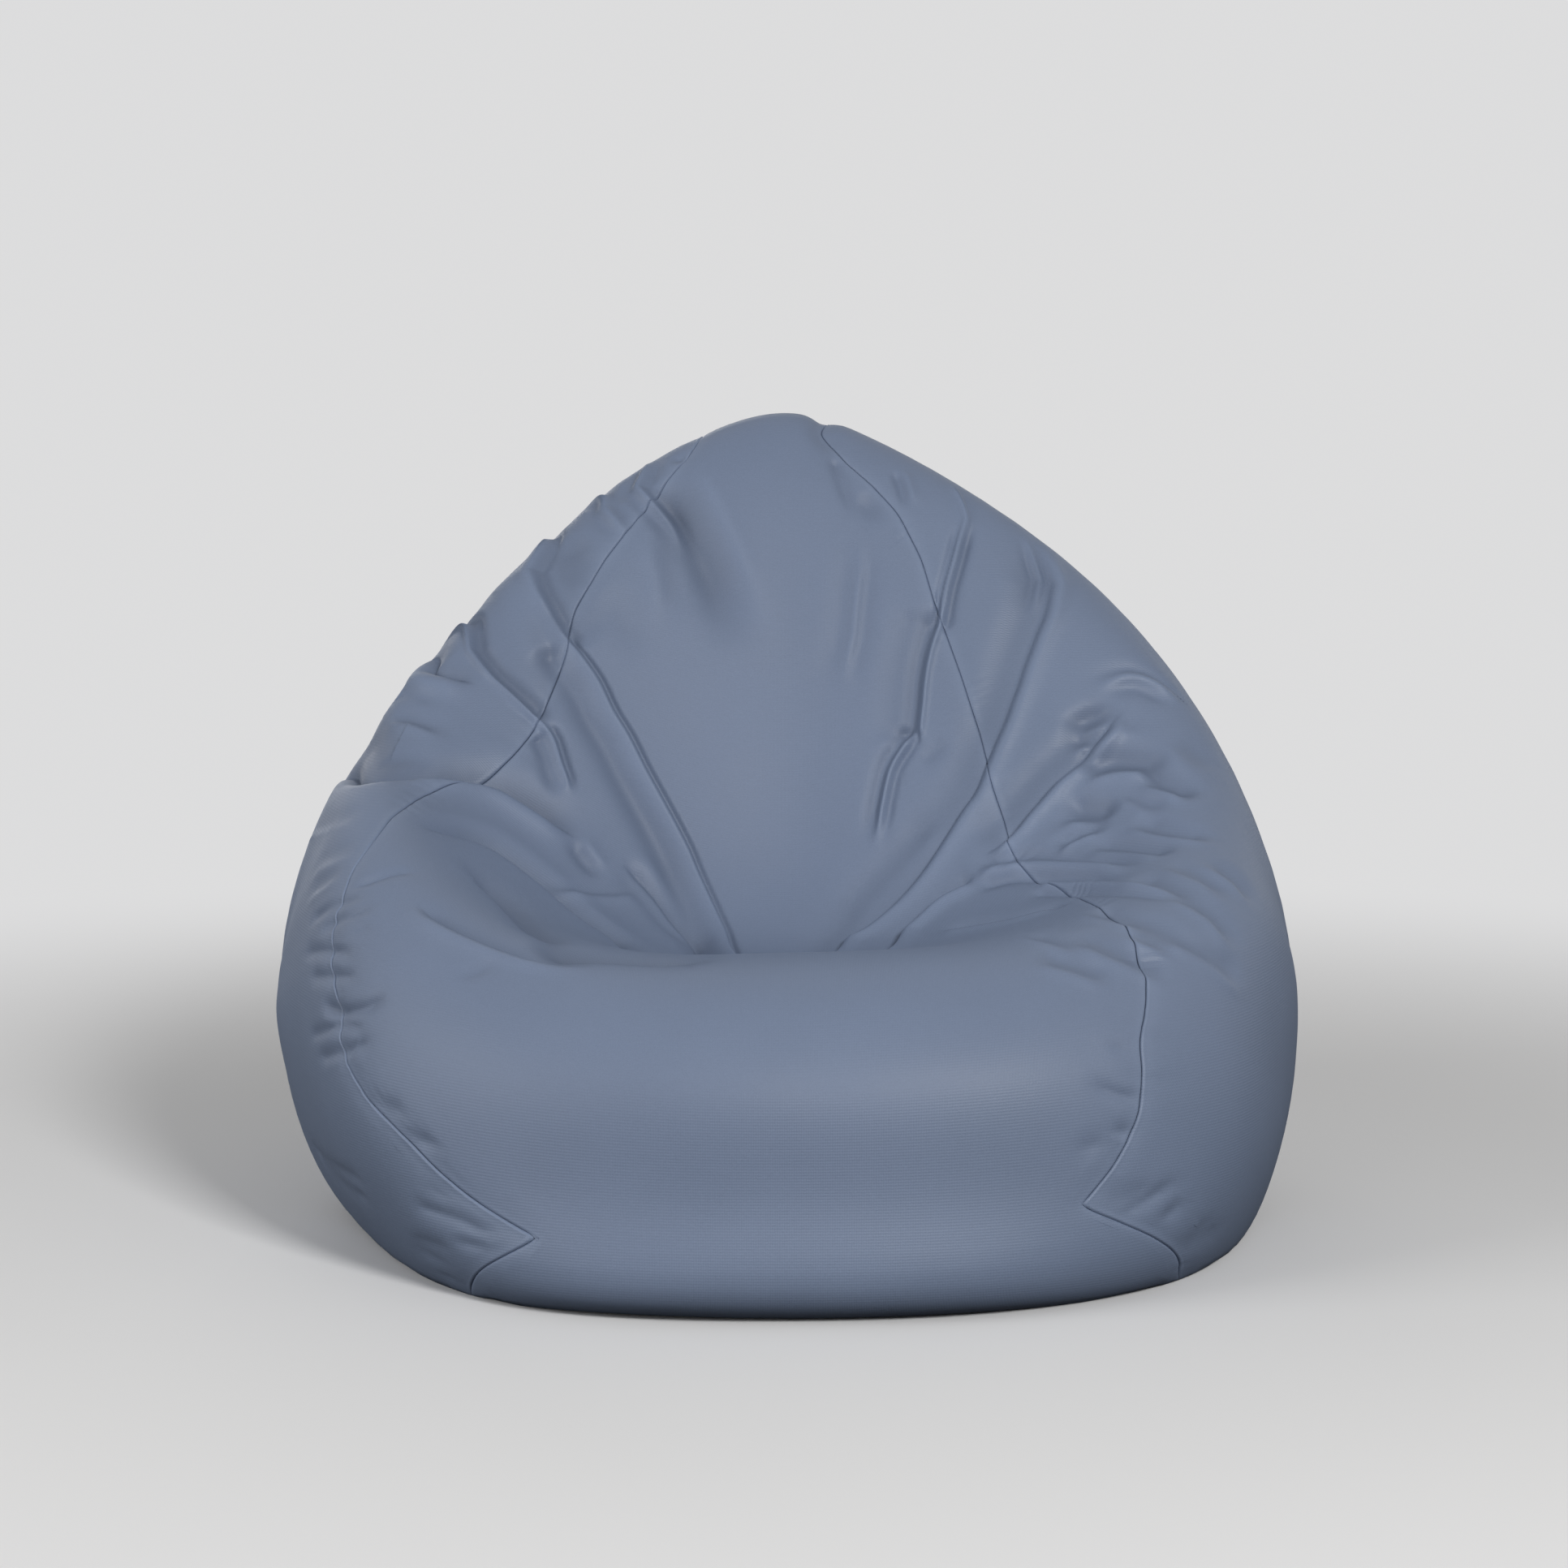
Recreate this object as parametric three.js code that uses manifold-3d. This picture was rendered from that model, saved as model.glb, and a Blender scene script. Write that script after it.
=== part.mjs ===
import * as THREE from 'three';
import { mergeVertices } from 'three/addons/utils/BufferGeometryUtils.js';
import Module from 'manifold-3d';

// Bean bag chair: a sewn cover of six panels round a loose liner that is filled with beads.
// Millimetres, +Z up. The origin is on the floor under the middle of the bag, and the front faces -Y.

// Driving dimensions of the whole bag
const WIDTH = 1030;
const DEPTH = 990;
const HEIGHT = 800;

// Cloth, and the room between the layers
const COVER_THICKNESS = 1.2;
const LINER_THICKNESS = 0.6;
const LAYER_GAP = 0.4;
const SEAM_SETBACK = 0.3;

// Cover zipper across the lower rear
const ZIP_RADIUS = 750;
const ZIP_OPENING = 8;
const ZIP_FLAT_BAND = 26;
const ZIP_FADE = 34;
const TAPE_WIDTH = 13;
const TAPE_THICKNESS = 0.8;
const TAPE_CENTRE_GAP = 1.4;
const COIL_WIDTH = 2.3;
const COIL_DEPTH = 1.7;
const STOP_LENGTH = 4;
const STOP_HEIGHT = 5.4;

// Slider and its pull
const SLIDER_LENGTH = 12;
const SLIDER_WIDTH = 11;
const SLIDER_CORNER = 2.5;
const SLIDER_PLATE = 1.8;
const SLIDER_BACK_PLATE = 1.2;
const SLIDER_BACK_WIDTH = 8;
const SLIDER_BACK_LENGTH = 10;
const SLIDER_POST = 0.8;
const SLIDER_POST_LENGTH = 3;
const SLIDER_CLEARANCE = 0.9;
const BRIDGE_LENGTH = 7;
const BRIDGE_BAR = 1.2;
const BRIDGE_LIFT = 3.2;
const PULL_LENGTH = 30;
const PULL_WIDTH = 7.5;
const PULL_THICKNESS = 1.2;
const PULL_BAR = 1.2;
const PULL_CORNER = 2;
const PULL_WINDOW_LENGTH = 5;
const PULL_WINDOW_WIDTH = 3;
const PULL_WINDOW_CORNER = 0.8;

// Strip that closes the liner's filling slit
const CLOSING_STRIP_WIDTH = 22;
const CLOSING_STRIP_THICKNESS = 0.8;

// Depth and half width of the main folds
const DEEP_FOLD = 20;
const DEEP_FOLD_WIDTH = 34;
const LONG_FOLD = 12;
const LONG_FOLD_WIDTH = 28;

// The form is a net of points round the bag. Each list runs up the front from the floor, over the seat,
// up the back and down the rear. A point is its place across as a share of half the width, its place along
// as a share of half the depth, and its height as a share of the whole height.
const CENTRE_SHARES = [
  [0, -0.323, -0.025], [0, -0.919, 0], [0, -1, 0.125], [0, -0.96, 0.262], [0, -0.768, 0.369],
  [0, -0.505, 0.369], [0, -0.222, 0.331], [0, 0.03, 0.344], [0, 0.192, 0.469], [0, 0.303, 0.625],
  [0, 0.414, 0.787], [0, 0.535, 0.931], [0, 0.677, 1], [0, 0.808, 0.912], [0, 0.889, 0.75],
  [0, 0.949, 0.562], [0, 0.99, 0.375], [0, 1, 0.2], [0, 0.869, 0], [0, 0.303, -0.025],
];
const INNER_SHARES = [
  [0.388, -0.303, -0.025], [0.388, -0.848, 0], [0.408, -0.929, 0.125], [0.408, -0.889, 0.269],
  [0.408, -0.707, 0.375], [0.408, -0.475, 0.388], [0.408, -0.242, 0.381], [0.408, -0.02, 0.425],
  [0.388, 0.141, 0.537], [0.359, 0.273, 0.669], [0.311, 0.394, 0.806], [0.243, 0.515, 0.919],
  [0.194, 0.657, 0.981], [0.252, 0.778, 0.9], [0.33, 0.859, 0.75], [0.388, 0.909, 0.562],
  [0.408, 0.939, 0.375], [0.408, 0.939, 0.2], [0.388, 0.828, 0], [0.388, 0.283, -0.025],
];
const LEFT_MIDDLE_SHARES = [
  [-0.718, -0.222, -0.012], [-0.689, -0.586, -0.006], [-0.734, -0.697, 0.131], [-0.738, -0.677, 0.281],
  [-0.738, -0.535, 0.406], [-0.738, -0.343, 0.481], [-0.738, -0.162, 0.525], [-0.728, 0, 0.562],
  [-0.703, 0.141, 0.619], [-0.656, 0.253, 0.688], [-0.586, 0.354, 0.756], [-0.509, 0.455, 0.819],
  [-0.476, 0.566, 0.838], [-0.544, 0.677, 0.769], [-0.612, 0.737, 0.65], [-0.67, 0.778, 0.512],
  [-0.703, 0.778, 0.362], [-0.715, 0.758, 0.206], [-0.68, 0.636, -0.006], [-0.709, 0.202, -0.012],
];
const LEFT_OUTER_SHARES = [
  [-0.897, -0.091, 0.044], [-0.893, -0.202, 0.075], [-0.905, -0.313, 0.156], [-0.92, -0.333, 0.269],
  [-0.918, -0.263, 0.362], [-0.917, -0.172, 0.419], [-0.909, -0.071, 0.46], [-0.901, 0.01, 0.488],
  [-0.891, 0.091, 0.512], [-0.878, 0.172, 0.537], [-0.858, 0.242, 0.557], [-0.835, 0.313, 0.575],
  [-0.821, 0.384, 0.569], [-0.835, 0.434, 0.525], [-0.854, 0.465, 0.462], [-0.874, 0.475, 0.394],
  [-0.893, 0.475, 0.312], [-0.901, 0.444, 0.206], [-0.893, 0.313, 0.078], [-0.893, 0.121, 0.044],
];
const RIGHT_MIDDLE_SHARES = [
  [0.728, -0.222, -0.012], [0.709, -0.606, -0.006], [0.748, -0.697, 0.131], [0.753, -0.677, 0.275],
  [0.751, -0.535, 0.388], [0.748, -0.343, 0.444], [0.748, -0.162, 0.481], [0.742, 0, 0.531],
  [0.722, 0.141, 0.606], [0.683, 0.253, 0.688], [0.621, 0.354, 0.765], [0.551, 0.455, 0.828],
  [0.509, 0.566, 0.846], [0.573, 0.677, 0.775], [0.631, 0.737, 0.656], [0.68, 0.778, 0.512],
  [0.711, 0.778, 0.362], [0.722, 0.758, 0.206], [0.689, 0.636, -0.006], [0.718, 0.202, -0.012],
];
const RIGHT_OUTER_SHARES = [
  [0.905, -0.091, 0.044], [0.907, -0.202, 0.075], [0.922, -0.313, 0.15], [0.938, -0.333, 0.256],
  [0.94, -0.263, 0.35], [0.938, -0.172, 0.4], [0.932, -0.071, 0.435], [0.926, 0.01, 0.465],
  [0.918, 0.091, 0.5], [0.907, 0.172, 0.531], [0.889, 0.242, 0.562], [0.872, 0.313, 0.584],
  [0.858, 0.384, 0.588], [0.862, 0.434, 0.537], [0.878, 0.465, 0.462], [0.893, 0.475, 0.394],
  [0.909, 0.475, 0.312], [0.917, 0.444, 0.206], [0.905, 0.313, 0.078], [0.901, 0.121, 0.044],
];
const LEFT_POLE_SHARES = [-0.996, 0.061, 0.275];
const RIGHT_POLE_SHARES = [1.008, 0.061, 0.269];

// Where the side seams cross each place of the net: [row, column], with the columns from 0 at the left pole
// to 8 at the right one. The sharp points at the lower front are the corners of the side panels.
const LEFT_SEAM_SHARES = [
  [0, 2], [0.5, 2.1], [0.85, 2.35], [1.2, 2.55], [1.6, 2.72], [1.8, 2.93], [2, 2.6], [2.25, 2.35], [2.6, 1.9],
  [3, 1.5], [3.5, 1.47], [4, 1.55], [4.5, 1.68], [5, 1.85], [6, 2], [7, 2.15], [7.5, 2.35], [8, 2.57],
  [8.5, 2.65], [9, 2.7], [9.5, 2.6], [10, 2.65], [11, 3.03], [11.5, 3.12], [12.4, 3.12], [13, 3],
  [14, 2.8], [15, 2.65], [16, 2.55], [17, 2.5], [17.5, 2.4], [18, 2.2], [19, 2], [20, 2],
];
const RIGHT_SEAM_SHARES = [
  [0, 6], [0.5, 5.95], [0.85, 5.97], [1.3, 5.95], [1.65, 5.8], [1.85, 5.55], [1.98, 5.35], [2.25, 5.52],
  [2.5, 5.6], [3, 5.65], [3.6, 5.7], [4, 5.75], [4.7, 5.8], [5.5, 5.7], [6.5, 5.55], [7.4, 5.3],
  [7.7, 5.15], [8, 5.1], [8.7, 5.03], [9.5, 4.96], [10, 4.9], [10.4, 4.85], [10.7, 4.78], [11, 4.6],
  [11.5, 4.6], [12.4, 4.7], [13, 4.9], [14, 5.15], [15, 5.3], [16, 5.42], [17, 5.5], [17.5, 5.6],
  [18, 5.8], [19, 6], [20, 6],
];

// The main folds of the front, as [row, column] points along the bottom of each valley
const FOLDS = [
  { depth: DEEP_FOLD, width: DEEP_FOLD_WIDTH,
    shares: [[7.7, 1.7], [7.85, 2.3], [7.85, 2.7], [7.6, 3], [7.3, 3.2]] },
  { depth: LONG_FOLD, width: LONG_FOLD_WIDTH,
    shares: [[10.3, 2.3], [9.3, 2.65], [8.85, 3.05], [8.1, 3.3], [7.65, 3.55], [7, 3.7]] },
  { depth: DEEP_FOLD, width: LONG_FOLD_WIDTH,
    shares: [[10.6, 5.2], [9.8, 5], [9.15, 4.9], [8.5, 4.75], [8, 4.55]] },
  { depth: LONG_FOLD, width: LONG_FOLD_WIDTH,
    shares: [[10.2, 5.8], [9.3, 5.5], [8.5, 5.1], [7.9, 4.75], [7.3, 4.4], [7, 4.25]] },
  { depth: LONG_FOLD, width: DEEP_FOLD_WIDTH,
    shares: [[8.9, 6.2], [8.3, 5.5], [7.8, 5], [7.4, 4.7], [7, 4.4]] },
];

// Where the mesh has its rows, as places counted in the net's rows, and which of them are panel edges
const FRONT_EDGE_SHARE = 0.85;
const TOP_EDGE_SHARE = 12.4;
const ZIP_LINE_SHARE = 17;
const REAR_EDGE_SHARE = 18;
const ROW_SHARES = [
  0.3, FRONT_EDGE_SHARE, 1.25, 1.55, 1.8, 2, 2.3, 2.65, 3, 3.4, 3.8, 4.2, 4.6, 5.1, 5.7, 6.3, 6.8, 7.15, 7.5,
  7.8, 8.1, 8.45, 8.8, 9.15, 9.55, 10, 10.4, 10.8, 11.2, 11.6, 12, TOP_EDGE_SHARE, 12.8, 13.3, 13.9, 14.5,
  15.1, 15.7, 16.2, 16.6, 16.87, ZIP_LINE_SHARE, 17.13, 17.45, REAR_EDGE_SHARE, 18.7, 19.4,
];
const SIDE_COLUMN_SHARES = [0, 0.2, 0.42, 0.62, 0.78, 0.9, 1];
const STRIP_COLUMNS = 11;
const ZIP_END_COLUMNS = 1;

// Mesh counts and the net's own size
const NET_ROWS = CENTRE_SHARES.length;
const NET_COLUMNS = 8;
const FIT_ROUNDS = 40;
const SLOPE_STEP = 0.02;
const FOLD_STEPS = 8;
const SHARPEST_CORNER_SHARE = 0.3;
const CORNER_STEPS = 3;
const WINDOW_STEPS = 2;

const halfWidth = WIDTH / 2;
const halfDepth = DEPTH / 2;
const zipAxisY = halfDepth - ZIP_RADIUS;
const zipHeight = CENTRE_SHARES[ZIP_LINE_SHARE][2] * HEIGHT;

const fromShares = ([across, along, up]) => [across * halfWidth, along * halfDepth, up * HEIGHT];
const mirrored = ([across, along, up]) => [-across, along, up];

// The net closed both ways: each row runs over the bag and comes back along the row across the poles.
function closedNet() {
  const lists = [
    CENTRE_SHARES.map(() => LEFT_POLE_SHARES),
    LEFT_OUTER_SHARES, LEFT_MIDDLE_SHARES, INNER_SHARES.map(mirrored),
    CENTRE_SHARES,
    INNER_SHARES, RIGHT_MIDDLE_SHARES, RIGHT_OUTER_SHARES,
    CENTRE_SHARES.map(() => RIGHT_POLE_SHARES),
  ];
  const net = [];
  for (let row = 0; row < NET_ROWS; row += 1) {
    const across = (row + NET_ROWS / 2) % NET_ROWS;
    const there = lists.map((list) => fromShares(list[row]));
    const back = lists.slice(1, NET_COLUMNS).reverse().map((list) => fromShares(list[across]));
    net.push([...there, ...back]);
  }
  return net;
}

// Control points whose smooth closed curve passes through the given points.
function controlPoints(points) {
  const count = points.length;
  let control = points.map((point) => [...point]);
  for (let round = 0; round < FIT_ROUNDS; round += 1) {
    control = control.map((point, i) => point.map((value, k) => {
      const near = control[(i + count - 1) % count][k] + control[(i + 1) % count][k];
      return value + points[i][k] - (4 * value + near) / 6;
    }));
  }
  return control;
}

// A closed cubic curve through its control points, at a place counted in points.
function curvePoint(control, place) {
  const count = control.length;
  const first = Math.floor(place);
  const f = place - first;
  const weights = [(1 - f) ** 3, 3 * f ** 3 - 6 * f ** 2 + 4, -3 * f ** 3 + 3 * f ** 2 + 3 * f + 1, f ** 3];
  return [0, 1, 2].map((k) => weights.reduce(
    (sum, weight, i) => sum + weight / 6 * control[(first + i - 1 + count) % count][k], 0));
}

const net = closedNet().map(controlPoints);
const netLines = net[0].map((_, column) => controlPoints(net.map((row) => row[column])));

const smoothStep = (value) => {
  const t = Math.min(Math.max(value, 0), 1);
  return t * t * (3 - 2 * t);
};

// The bag without folds. It is flat where it rests on the floor, and round about the zipper's axis there.
function smoothPoint(row, column) {
  const place = (row + NET_ROWS) % NET_ROWS;
  const point = new THREE.Vector3(...curvePoint(netLines.map((line) => curvePoint(line, place)), column));
  point.z = Math.max(point.z, 0);
  const aside = smoothStep(1 - (Math.abs(point.z - zipHeight) - ZIP_FLAT_BAND) / ZIP_FADE);
  const along = smoothStep(2 - 2 * Math.abs(point.x) / halfWidth);
  if (point.y > 0 && aside * along > 0) {
    const round = zipAxisY + Math.sqrt(ZIP_RADIUS ** 2 - point.x ** 2);
    point.y += (round - point.y) * aside * along;
  }
  return point;
}

function smoothNormal(row, column) {
  const inside = Math.min(Math.max(column, SLOPE_STEP), NET_COLUMNS - SLOPE_STEP);
  const alongRow = smoothPoint(row, inside + SLOPE_STEP).sub(smoothPoint(row, inside - SLOPE_STEP));
  const alongColumn = smoothPoint(row + SLOPE_STEP, inside).sub(smoothPoint(row - SLOPE_STEP, inside));
  return alongRow.cross(alongColumn).normalize();
}

const foldLines = FOLDS.map(({ shares }) => {
  const line = [];
  shares.slice(1).forEach(([row, column], i) => {
    for (let step = 0; step < FOLD_STEPS; step += 1) {
      const part = step / FOLD_STEPS;
      line.push(smoothPoint(shares[i][0] + (row - shares[i][0]) * part,
        shares[i][1] + (column - shares[i][1]) * part));
    }
  });
  return line;
});

// How far the cloth sinks at a point: each valley is a bell across its line, and fades out at both ends.
function foldDepth(point) {
  return FOLDS.reduce((sum, { depth, width }, i) => {
    let nearest = Infinity;
    let share = 0;
    foldLines[i].forEach((place, step) => {
      const distance = place.distanceTo(point);
      if (distance < nearest) {
        nearest = distance;
        share = step / (foldLines[i].length - 1);
      }
    });
    return sum + depth * Math.exp(-((nearest / width) ** 2)) * smoothStep(Math.sin(Math.PI * share) * 2);
  }, 0);
}

// Column where a seam crosses a row
function seamColumn(seam, row) {
  const after = seam.findIndex(([place]) => place >= row);
  if (after < 1) return seam[0][1];
  const [[rowBefore, columnBefore], [rowAfter, columnAfter]] = [seam[after - 1], seam[after]];
  return columnBefore + (columnAfter - columnBefore) * (row - rowBefore) / (rowAfter - rowBefore);
}

const sideColumns = SIDE_COLUMN_SHARES.length - 1;
const leftSeam = sideColumns;
const rightSeam = sideColumns + STRIP_COLUMNS;
const lastColumn = rightSeam + sideColumns;
const rowCount = ROW_SHARES.length;
const zipRow = ROW_SHARES.indexOf(ZIP_LINE_SHARE);
const zipFirst = leftSeam + ZIP_END_COLUMNS;
const zipLast = rightSeam - ZIP_END_COLUMNS;

function columnPlace(row, index) {
  const left = seamColumn(LEFT_SEAM_SHARES, row);
  const right = seamColumn(RIGHT_SEAM_SHARES, row);
  if (index <= leftSeam) return left * SIDE_COLUMN_SHARES[index];
  if (index >= rightSeam) return NET_COLUMNS - (NET_COLUMNS - right) * SIDE_COLUMN_SHARES[lastColumn - index];
  return left + (right - left) * (index - leftSeam) / STRIP_COLUMNS;
}

// The folded skin on the mesh's rows and columns. Both ends of every row are the poles.
const skin = ROW_SHARES.map((row, r) => {
  const line = [];
  for (let c = 0; c <= lastColumn; c += 1) {
    const column = columnPlace(row, c);
    const point = smoothPoint(row, column);
    const depth = foldDepth(point);
    if (point.z > 0) point.addScaledVector(smoothNormal(row, column), -depth);
    if (r === zipRow && c >= leftSeam && c <= rightSeam) point.z = zipHeight;
    line.push(point);
  }
  return line;
});

// At the zipper the row has an upper and a lower copy, a zipper opening apart: side is 1, -1 or, where both
// edges are joined, 0.
const isOpen = (r, c) => r === zipRow && c >= zipFirst && c <= zipLast;
const keyOf = (r, c, side) => {
  if (c === 0 || c === lastColumn) return `pole ${c}`;
  return isOpen(r, c) ? `${r} ${c} ${side}` : `${r} ${c}`;
};

function placeOf(r, c, side) {
  const point = skin[r][c].clone();
  if (isOpen(r, c)) point.z += side * ZIP_OPENING / 2;
  return point;
}

// The corners of the face between rows r and r + 1 and columns c and c + 1, three of them at a pole
function cornersOf(r, c, split) {
  const next = (r + 1) % rowCount;
  return [[r, c, -split], [r, c + 1, -split], [next, c + 1, split], [next, c, split]]
    .filter(([, column], i) => !(i === 3 && column === 0) && !(i === 2 && column === lastColumn));
}

const allFaces = [];
for (let r = 0; r < rowCount; r += 1) {
  for (let c = 0; c < lastColumn; c += 1) allFaces.push([r, c]);
}

// Outward directions, and how much deeper the inner layers lie behind the zipper
const normals = new Map();
allFaces.forEach(([r, c]) => {
  const corners = cornersOf(r, c, 0);
  const points = corners.map((corner) => placeOf(...corner));
  const across = points[2].clone().sub(points[0]).cross(points[points.length - 1].clone().sub(points[1]));
  corners.forEach(([row, column]) => {
    [-1, 0, 1].forEach((side) => {
      const key = keyOf(row, column, side);
      if (side === 0 || isOpen(row, column)) {
        normals.set(key, (normals.get(key) ?? new THREE.Vector3()).add(across));
      }
    });
  });
});
normals.forEach((normal) => normal.normalize());

const coverBack = COVER_THICKNESS;
const tapeFront = coverBack + LAYER_GAP;
const tapeBack = tapeFront + TAPE_THICKNESS;
const backPlateFront = tapeBack + SLIDER_CLEARANCE;
const backPlateBack = backPlateFront + SLIDER_BACK_PLATE;
const closingFront = backPlateBack + SLIDER_CLEARANCE;
const closingBack = closingFront + CLOSING_STRIP_THICKNESS;
const linerFront = coverBack + LAYER_GAP;
const linerBack = linerFront + LINER_THICKNESS;
const fillFront = linerBack + LAYER_GAP;
const recess = closingBack + LAYER_GAP - linerFront;

function recessAt(r, c) {
  const nearZip = Math.abs(r - zipRow) <= 1 && c >= leftSeam && c <= rightSeam;
  return nearZip ? recess : 0;
}

// One closed body from the given faces, at a depth under the skin. Where a back depth is given, it also has
// an inner side and a rim. With a setback the edge is drawn back from the seam. A split layer is open at the
// zipper.
function layer(faces, frontDepth, backDepth, setback, split) {
  const entries = new Map();
  const edges = new Map();
  faces.forEach(([r, c]) => {
    const corners = cornersOf(r, c, split);
    corners.forEach((corner, i) => {
      const key = keyOf(...corner);
      if (!entries.has(key)) entries.set(key, { corner, inward: [], index: entries.size });
      const nextKey = keyOf(...corners[(i + 1) % corners.length]);
      if (edges.has(`${nextKey}>${key}`)) edges.delete(`${nextKey}>${key}`);
      else edges.set(`${key}>${nextKey}`, [key, nextKey]);
    });
  });
  edges.forEach(([from, to]) => {
    const [start, end] = [from, to].map((key) => placeOf(...entries.get(key).corner));
    const upwards = normals.get(from).clone().add(normals.get(to));
    const inward = upwards.cross(end.sub(start)).normalize();
    entries.get(from).inward.push(inward);
    entries.get(to).inward.push(inward);
  });
  const positions = [];
  const depths = backDepth === null ? [frontDepth] : [frontDepth, backDepth];
  depths.forEach((depth) => {
    entries.forEach(({ corner, inward }, key) => {
      const extra = depth >= linerFront ? recessAt(corner[0], corner[1]) : 0;
      const point = placeOf(...corner).addScaledVector(normals.get(key), -depth - extra);
      if (inward.length > 0) {
        const both = inward.reduce((sum, direction) => sum.add(direction), new THREE.Vector3());
        point.addScaledVector(both, setback / Math.max(both.dot(inward[0]), SHARPEST_CORNER_SHARE));
      }
      positions.push(point.x, point.y, point.z);
    });
  });
  const indices = [];
  const back = entries.size;
  faces.forEach(([r, c]) => {
    const ids = cornersOf(r, c, split).map((corner) => entries.get(keyOf(...corner)).index);
    for (let i = 1; i < ids.length - 1; i += 1) {
      indices.push(ids[0], ids[i], ids[i + 1]);
      if (backDepth !== null) indices.push(back + ids[0], back + ids[i + 1], back + ids[i]);
    }
  });
  if (backDepth !== null) {
    edges.forEach(([from, to]) => {
      const a = entries.get(from).index;
      const b = entries.get(to).index;
      indices.push(b, a, back + a, b, back + a, back + b);
    });
  }
  const geometry = new THREE.BufferGeometry();
  geometry.setAttribute('position', new THREE.Float32BufferAttribute(positions, 3));
  geometry.setIndex(indices);
  return geometry;
}

// Which panel a face belongs to
const rowOf = (place) => ROW_SHARES.indexOf(place);
function panelOf(r, c) {
  if (c < leftSeam) return 'left_side_panel';
  if (c >= rightSeam) return 'right_side_panel';
  if (r >= rowOf(FRONT_EDGE_SHARE) && r < rowOf(TOP_EDGE_SHARE)) return 'centre_panel';
  if (r >= rowOf(TOP_EDGE_SHARE) && r < zipRow) return 'rear_upper_panel';
  if (r >= zipRow && r < rowOf(REAR_EDGE_SHARE)) return 'rear_lower_panel';
  return 'base_panel';
}

const bag = new THREE.Group();
function addPiece(name, geometry, material) {
  const mesh = new THREE.Mesh(geometry, material);
  mesh.name = name;
  bag.add(mesh);
  return mesh;
}

const finishes = {
  cover: new THREE.MeshStandardMaterial({ color: 0x74809a, roughness: 0.5, metalness: 0 }),
  base: new THREE.MeshStandardMaterial({ color: 0x5c6476, roughness: 0.65, metalness: 0 }),
  tape: new THREE.MeshStandardMaterial({ color: 0x5f6b86, roughness: 0.8, metalness: 0 }),
  coil: new THREE.MeshStandardMaterial({ color: 0x525c74, roughness: 0.4, metalness: 0 }),
  metal: new THREE.MeshStandardMaterial({ color: 0x9a9ca2, roughness: 0.3, metalness: 1 }),
  liner: new THREE.MeshStandardMaterial({ color: 0xe6e4de, roughness: 0.8, metalness: 0 }),
  beads: new THREE.MeshStandardMaterial({ color: 0xf4f4f2, roughness: 0.9, metalness: 0 }),
};

// Cover panels
const PANELS = [
  'centre_panel', 'left_side_panel', 'right_side_panel', 'rear_upper_panel', 'rear_lower_panel', 'base_panel',
];
PANELS.forEach((name) => {
  const faces = allFaces.filter(([r, c]) => panelOf(r, c) === name);
  const finish = name === 'base_panel' ? finishes.base : finishes.cover;
  addPiece(name, layer(faces, 0, coverBack, SEAM_SETBACK, 1), finish);
});

// Liner, with its filling slit behind the zipper, and the beads that fill it
addPiece('inner_liner', layer(allFaces, linerFront, linerBack, 0, 1), finishes.liner);
addPiece('bead_fill', layer(allFaces, fillFront, null, 0, 0), finishes.beads);

// Stations of the zipper: the angles of the panel's own corners, so that every layer has the same facets
const stationAngle = (c) => Math.asin(skin[zipRow][c].x / ZIP_RADIUS);
const stations = [];
for (let c = zipFirst; c <= zipLast; c += 1) stations.push(stationAngle(c));

// A band round the zipper's axis with a rectangular section, from one radius to another
function arcBand(angles, outerRadius, innerRadius, low, high) {
  const positions = [];
  angles.forEach((angle) => {
    const section = [[outerRadius, low], [outerRadius, high], [innerRadius, high], [innerRadius, low]];
    section.forEach(([radius, z]) => {
      positions.push(radius * Math.sin(angle), zipAxisY + radius * Math.cos(angle), z);
    });
  });
  const indices = [0, 2, 1, 0, 3, 2];
  const end = (angles.length - 1) * 4;
  for (let start = 0; start < end; start += 4) {
    for (let side = 0; side < 4; side += 1) {
      const other = (side + 1) % 4;
      indices.push(start + side, start + 4 + other, start + 4 + side);
      indices.push(start + side, start + other, start + 4 + other);
    }
  }
  indices.push(end, end + 1, end + 2, end, end + 2, end + 3);
  const geometry = new THREE.BufferGeometry();
  geometry.setAttribute('position', new THREE.Float32BufferAttribute(positions, 3));
  geometry.setIndex(indices);
  return geometry;
}

// Zipper tapes behind the panel edges, and the two coils on them
const tapeLow = zipHeight + TAPE_CENTRE_GAP / 2;
const coilBack = ZIP_RADIUS - tapeFront + LAYER_GAP;
const coilFront = coilBack + COIL_DEPTH;
const below = (high) => 2 * zipHeight - high;
const inEnd = STOP_LENGTH / ZIP_RADIUS;
const lastStation = stations[stations.length - 1];
const coilAngles = [stations[0] + inEnd * 2, ...stations.slice(1, -1), lastStation - inEnd * 2];
const tapeRadii = [ZIP_RADIUS - tapeFront, ZIP_RADIUS - tapeBack];
addPiece('zipper_tape_upper', arcBand(stations, ...tapeRadii, tapeLow, tapeLow + TAPE_WIDTH), finishes.tape);
addPiece('zipper_tape_lower',
  arcBand(stations, ...tapeRadii, below(tapeLow + TAPE_WIDTH), below(tapeLow)), finishes.tape);
addPiece('zipper_coil_upper',
  arcBand(coilAngles, coilFront, coilBack, tapeLow, tapeLow + COIL_WIDTH), finishes.coil);
addPiece('zipper_coil_lower',
  arcBand(coilAngles, coilFront, coilBack, below(tapeLow + COIL_WIDTH), below(tapeLow)), finishes.coil);

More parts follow.
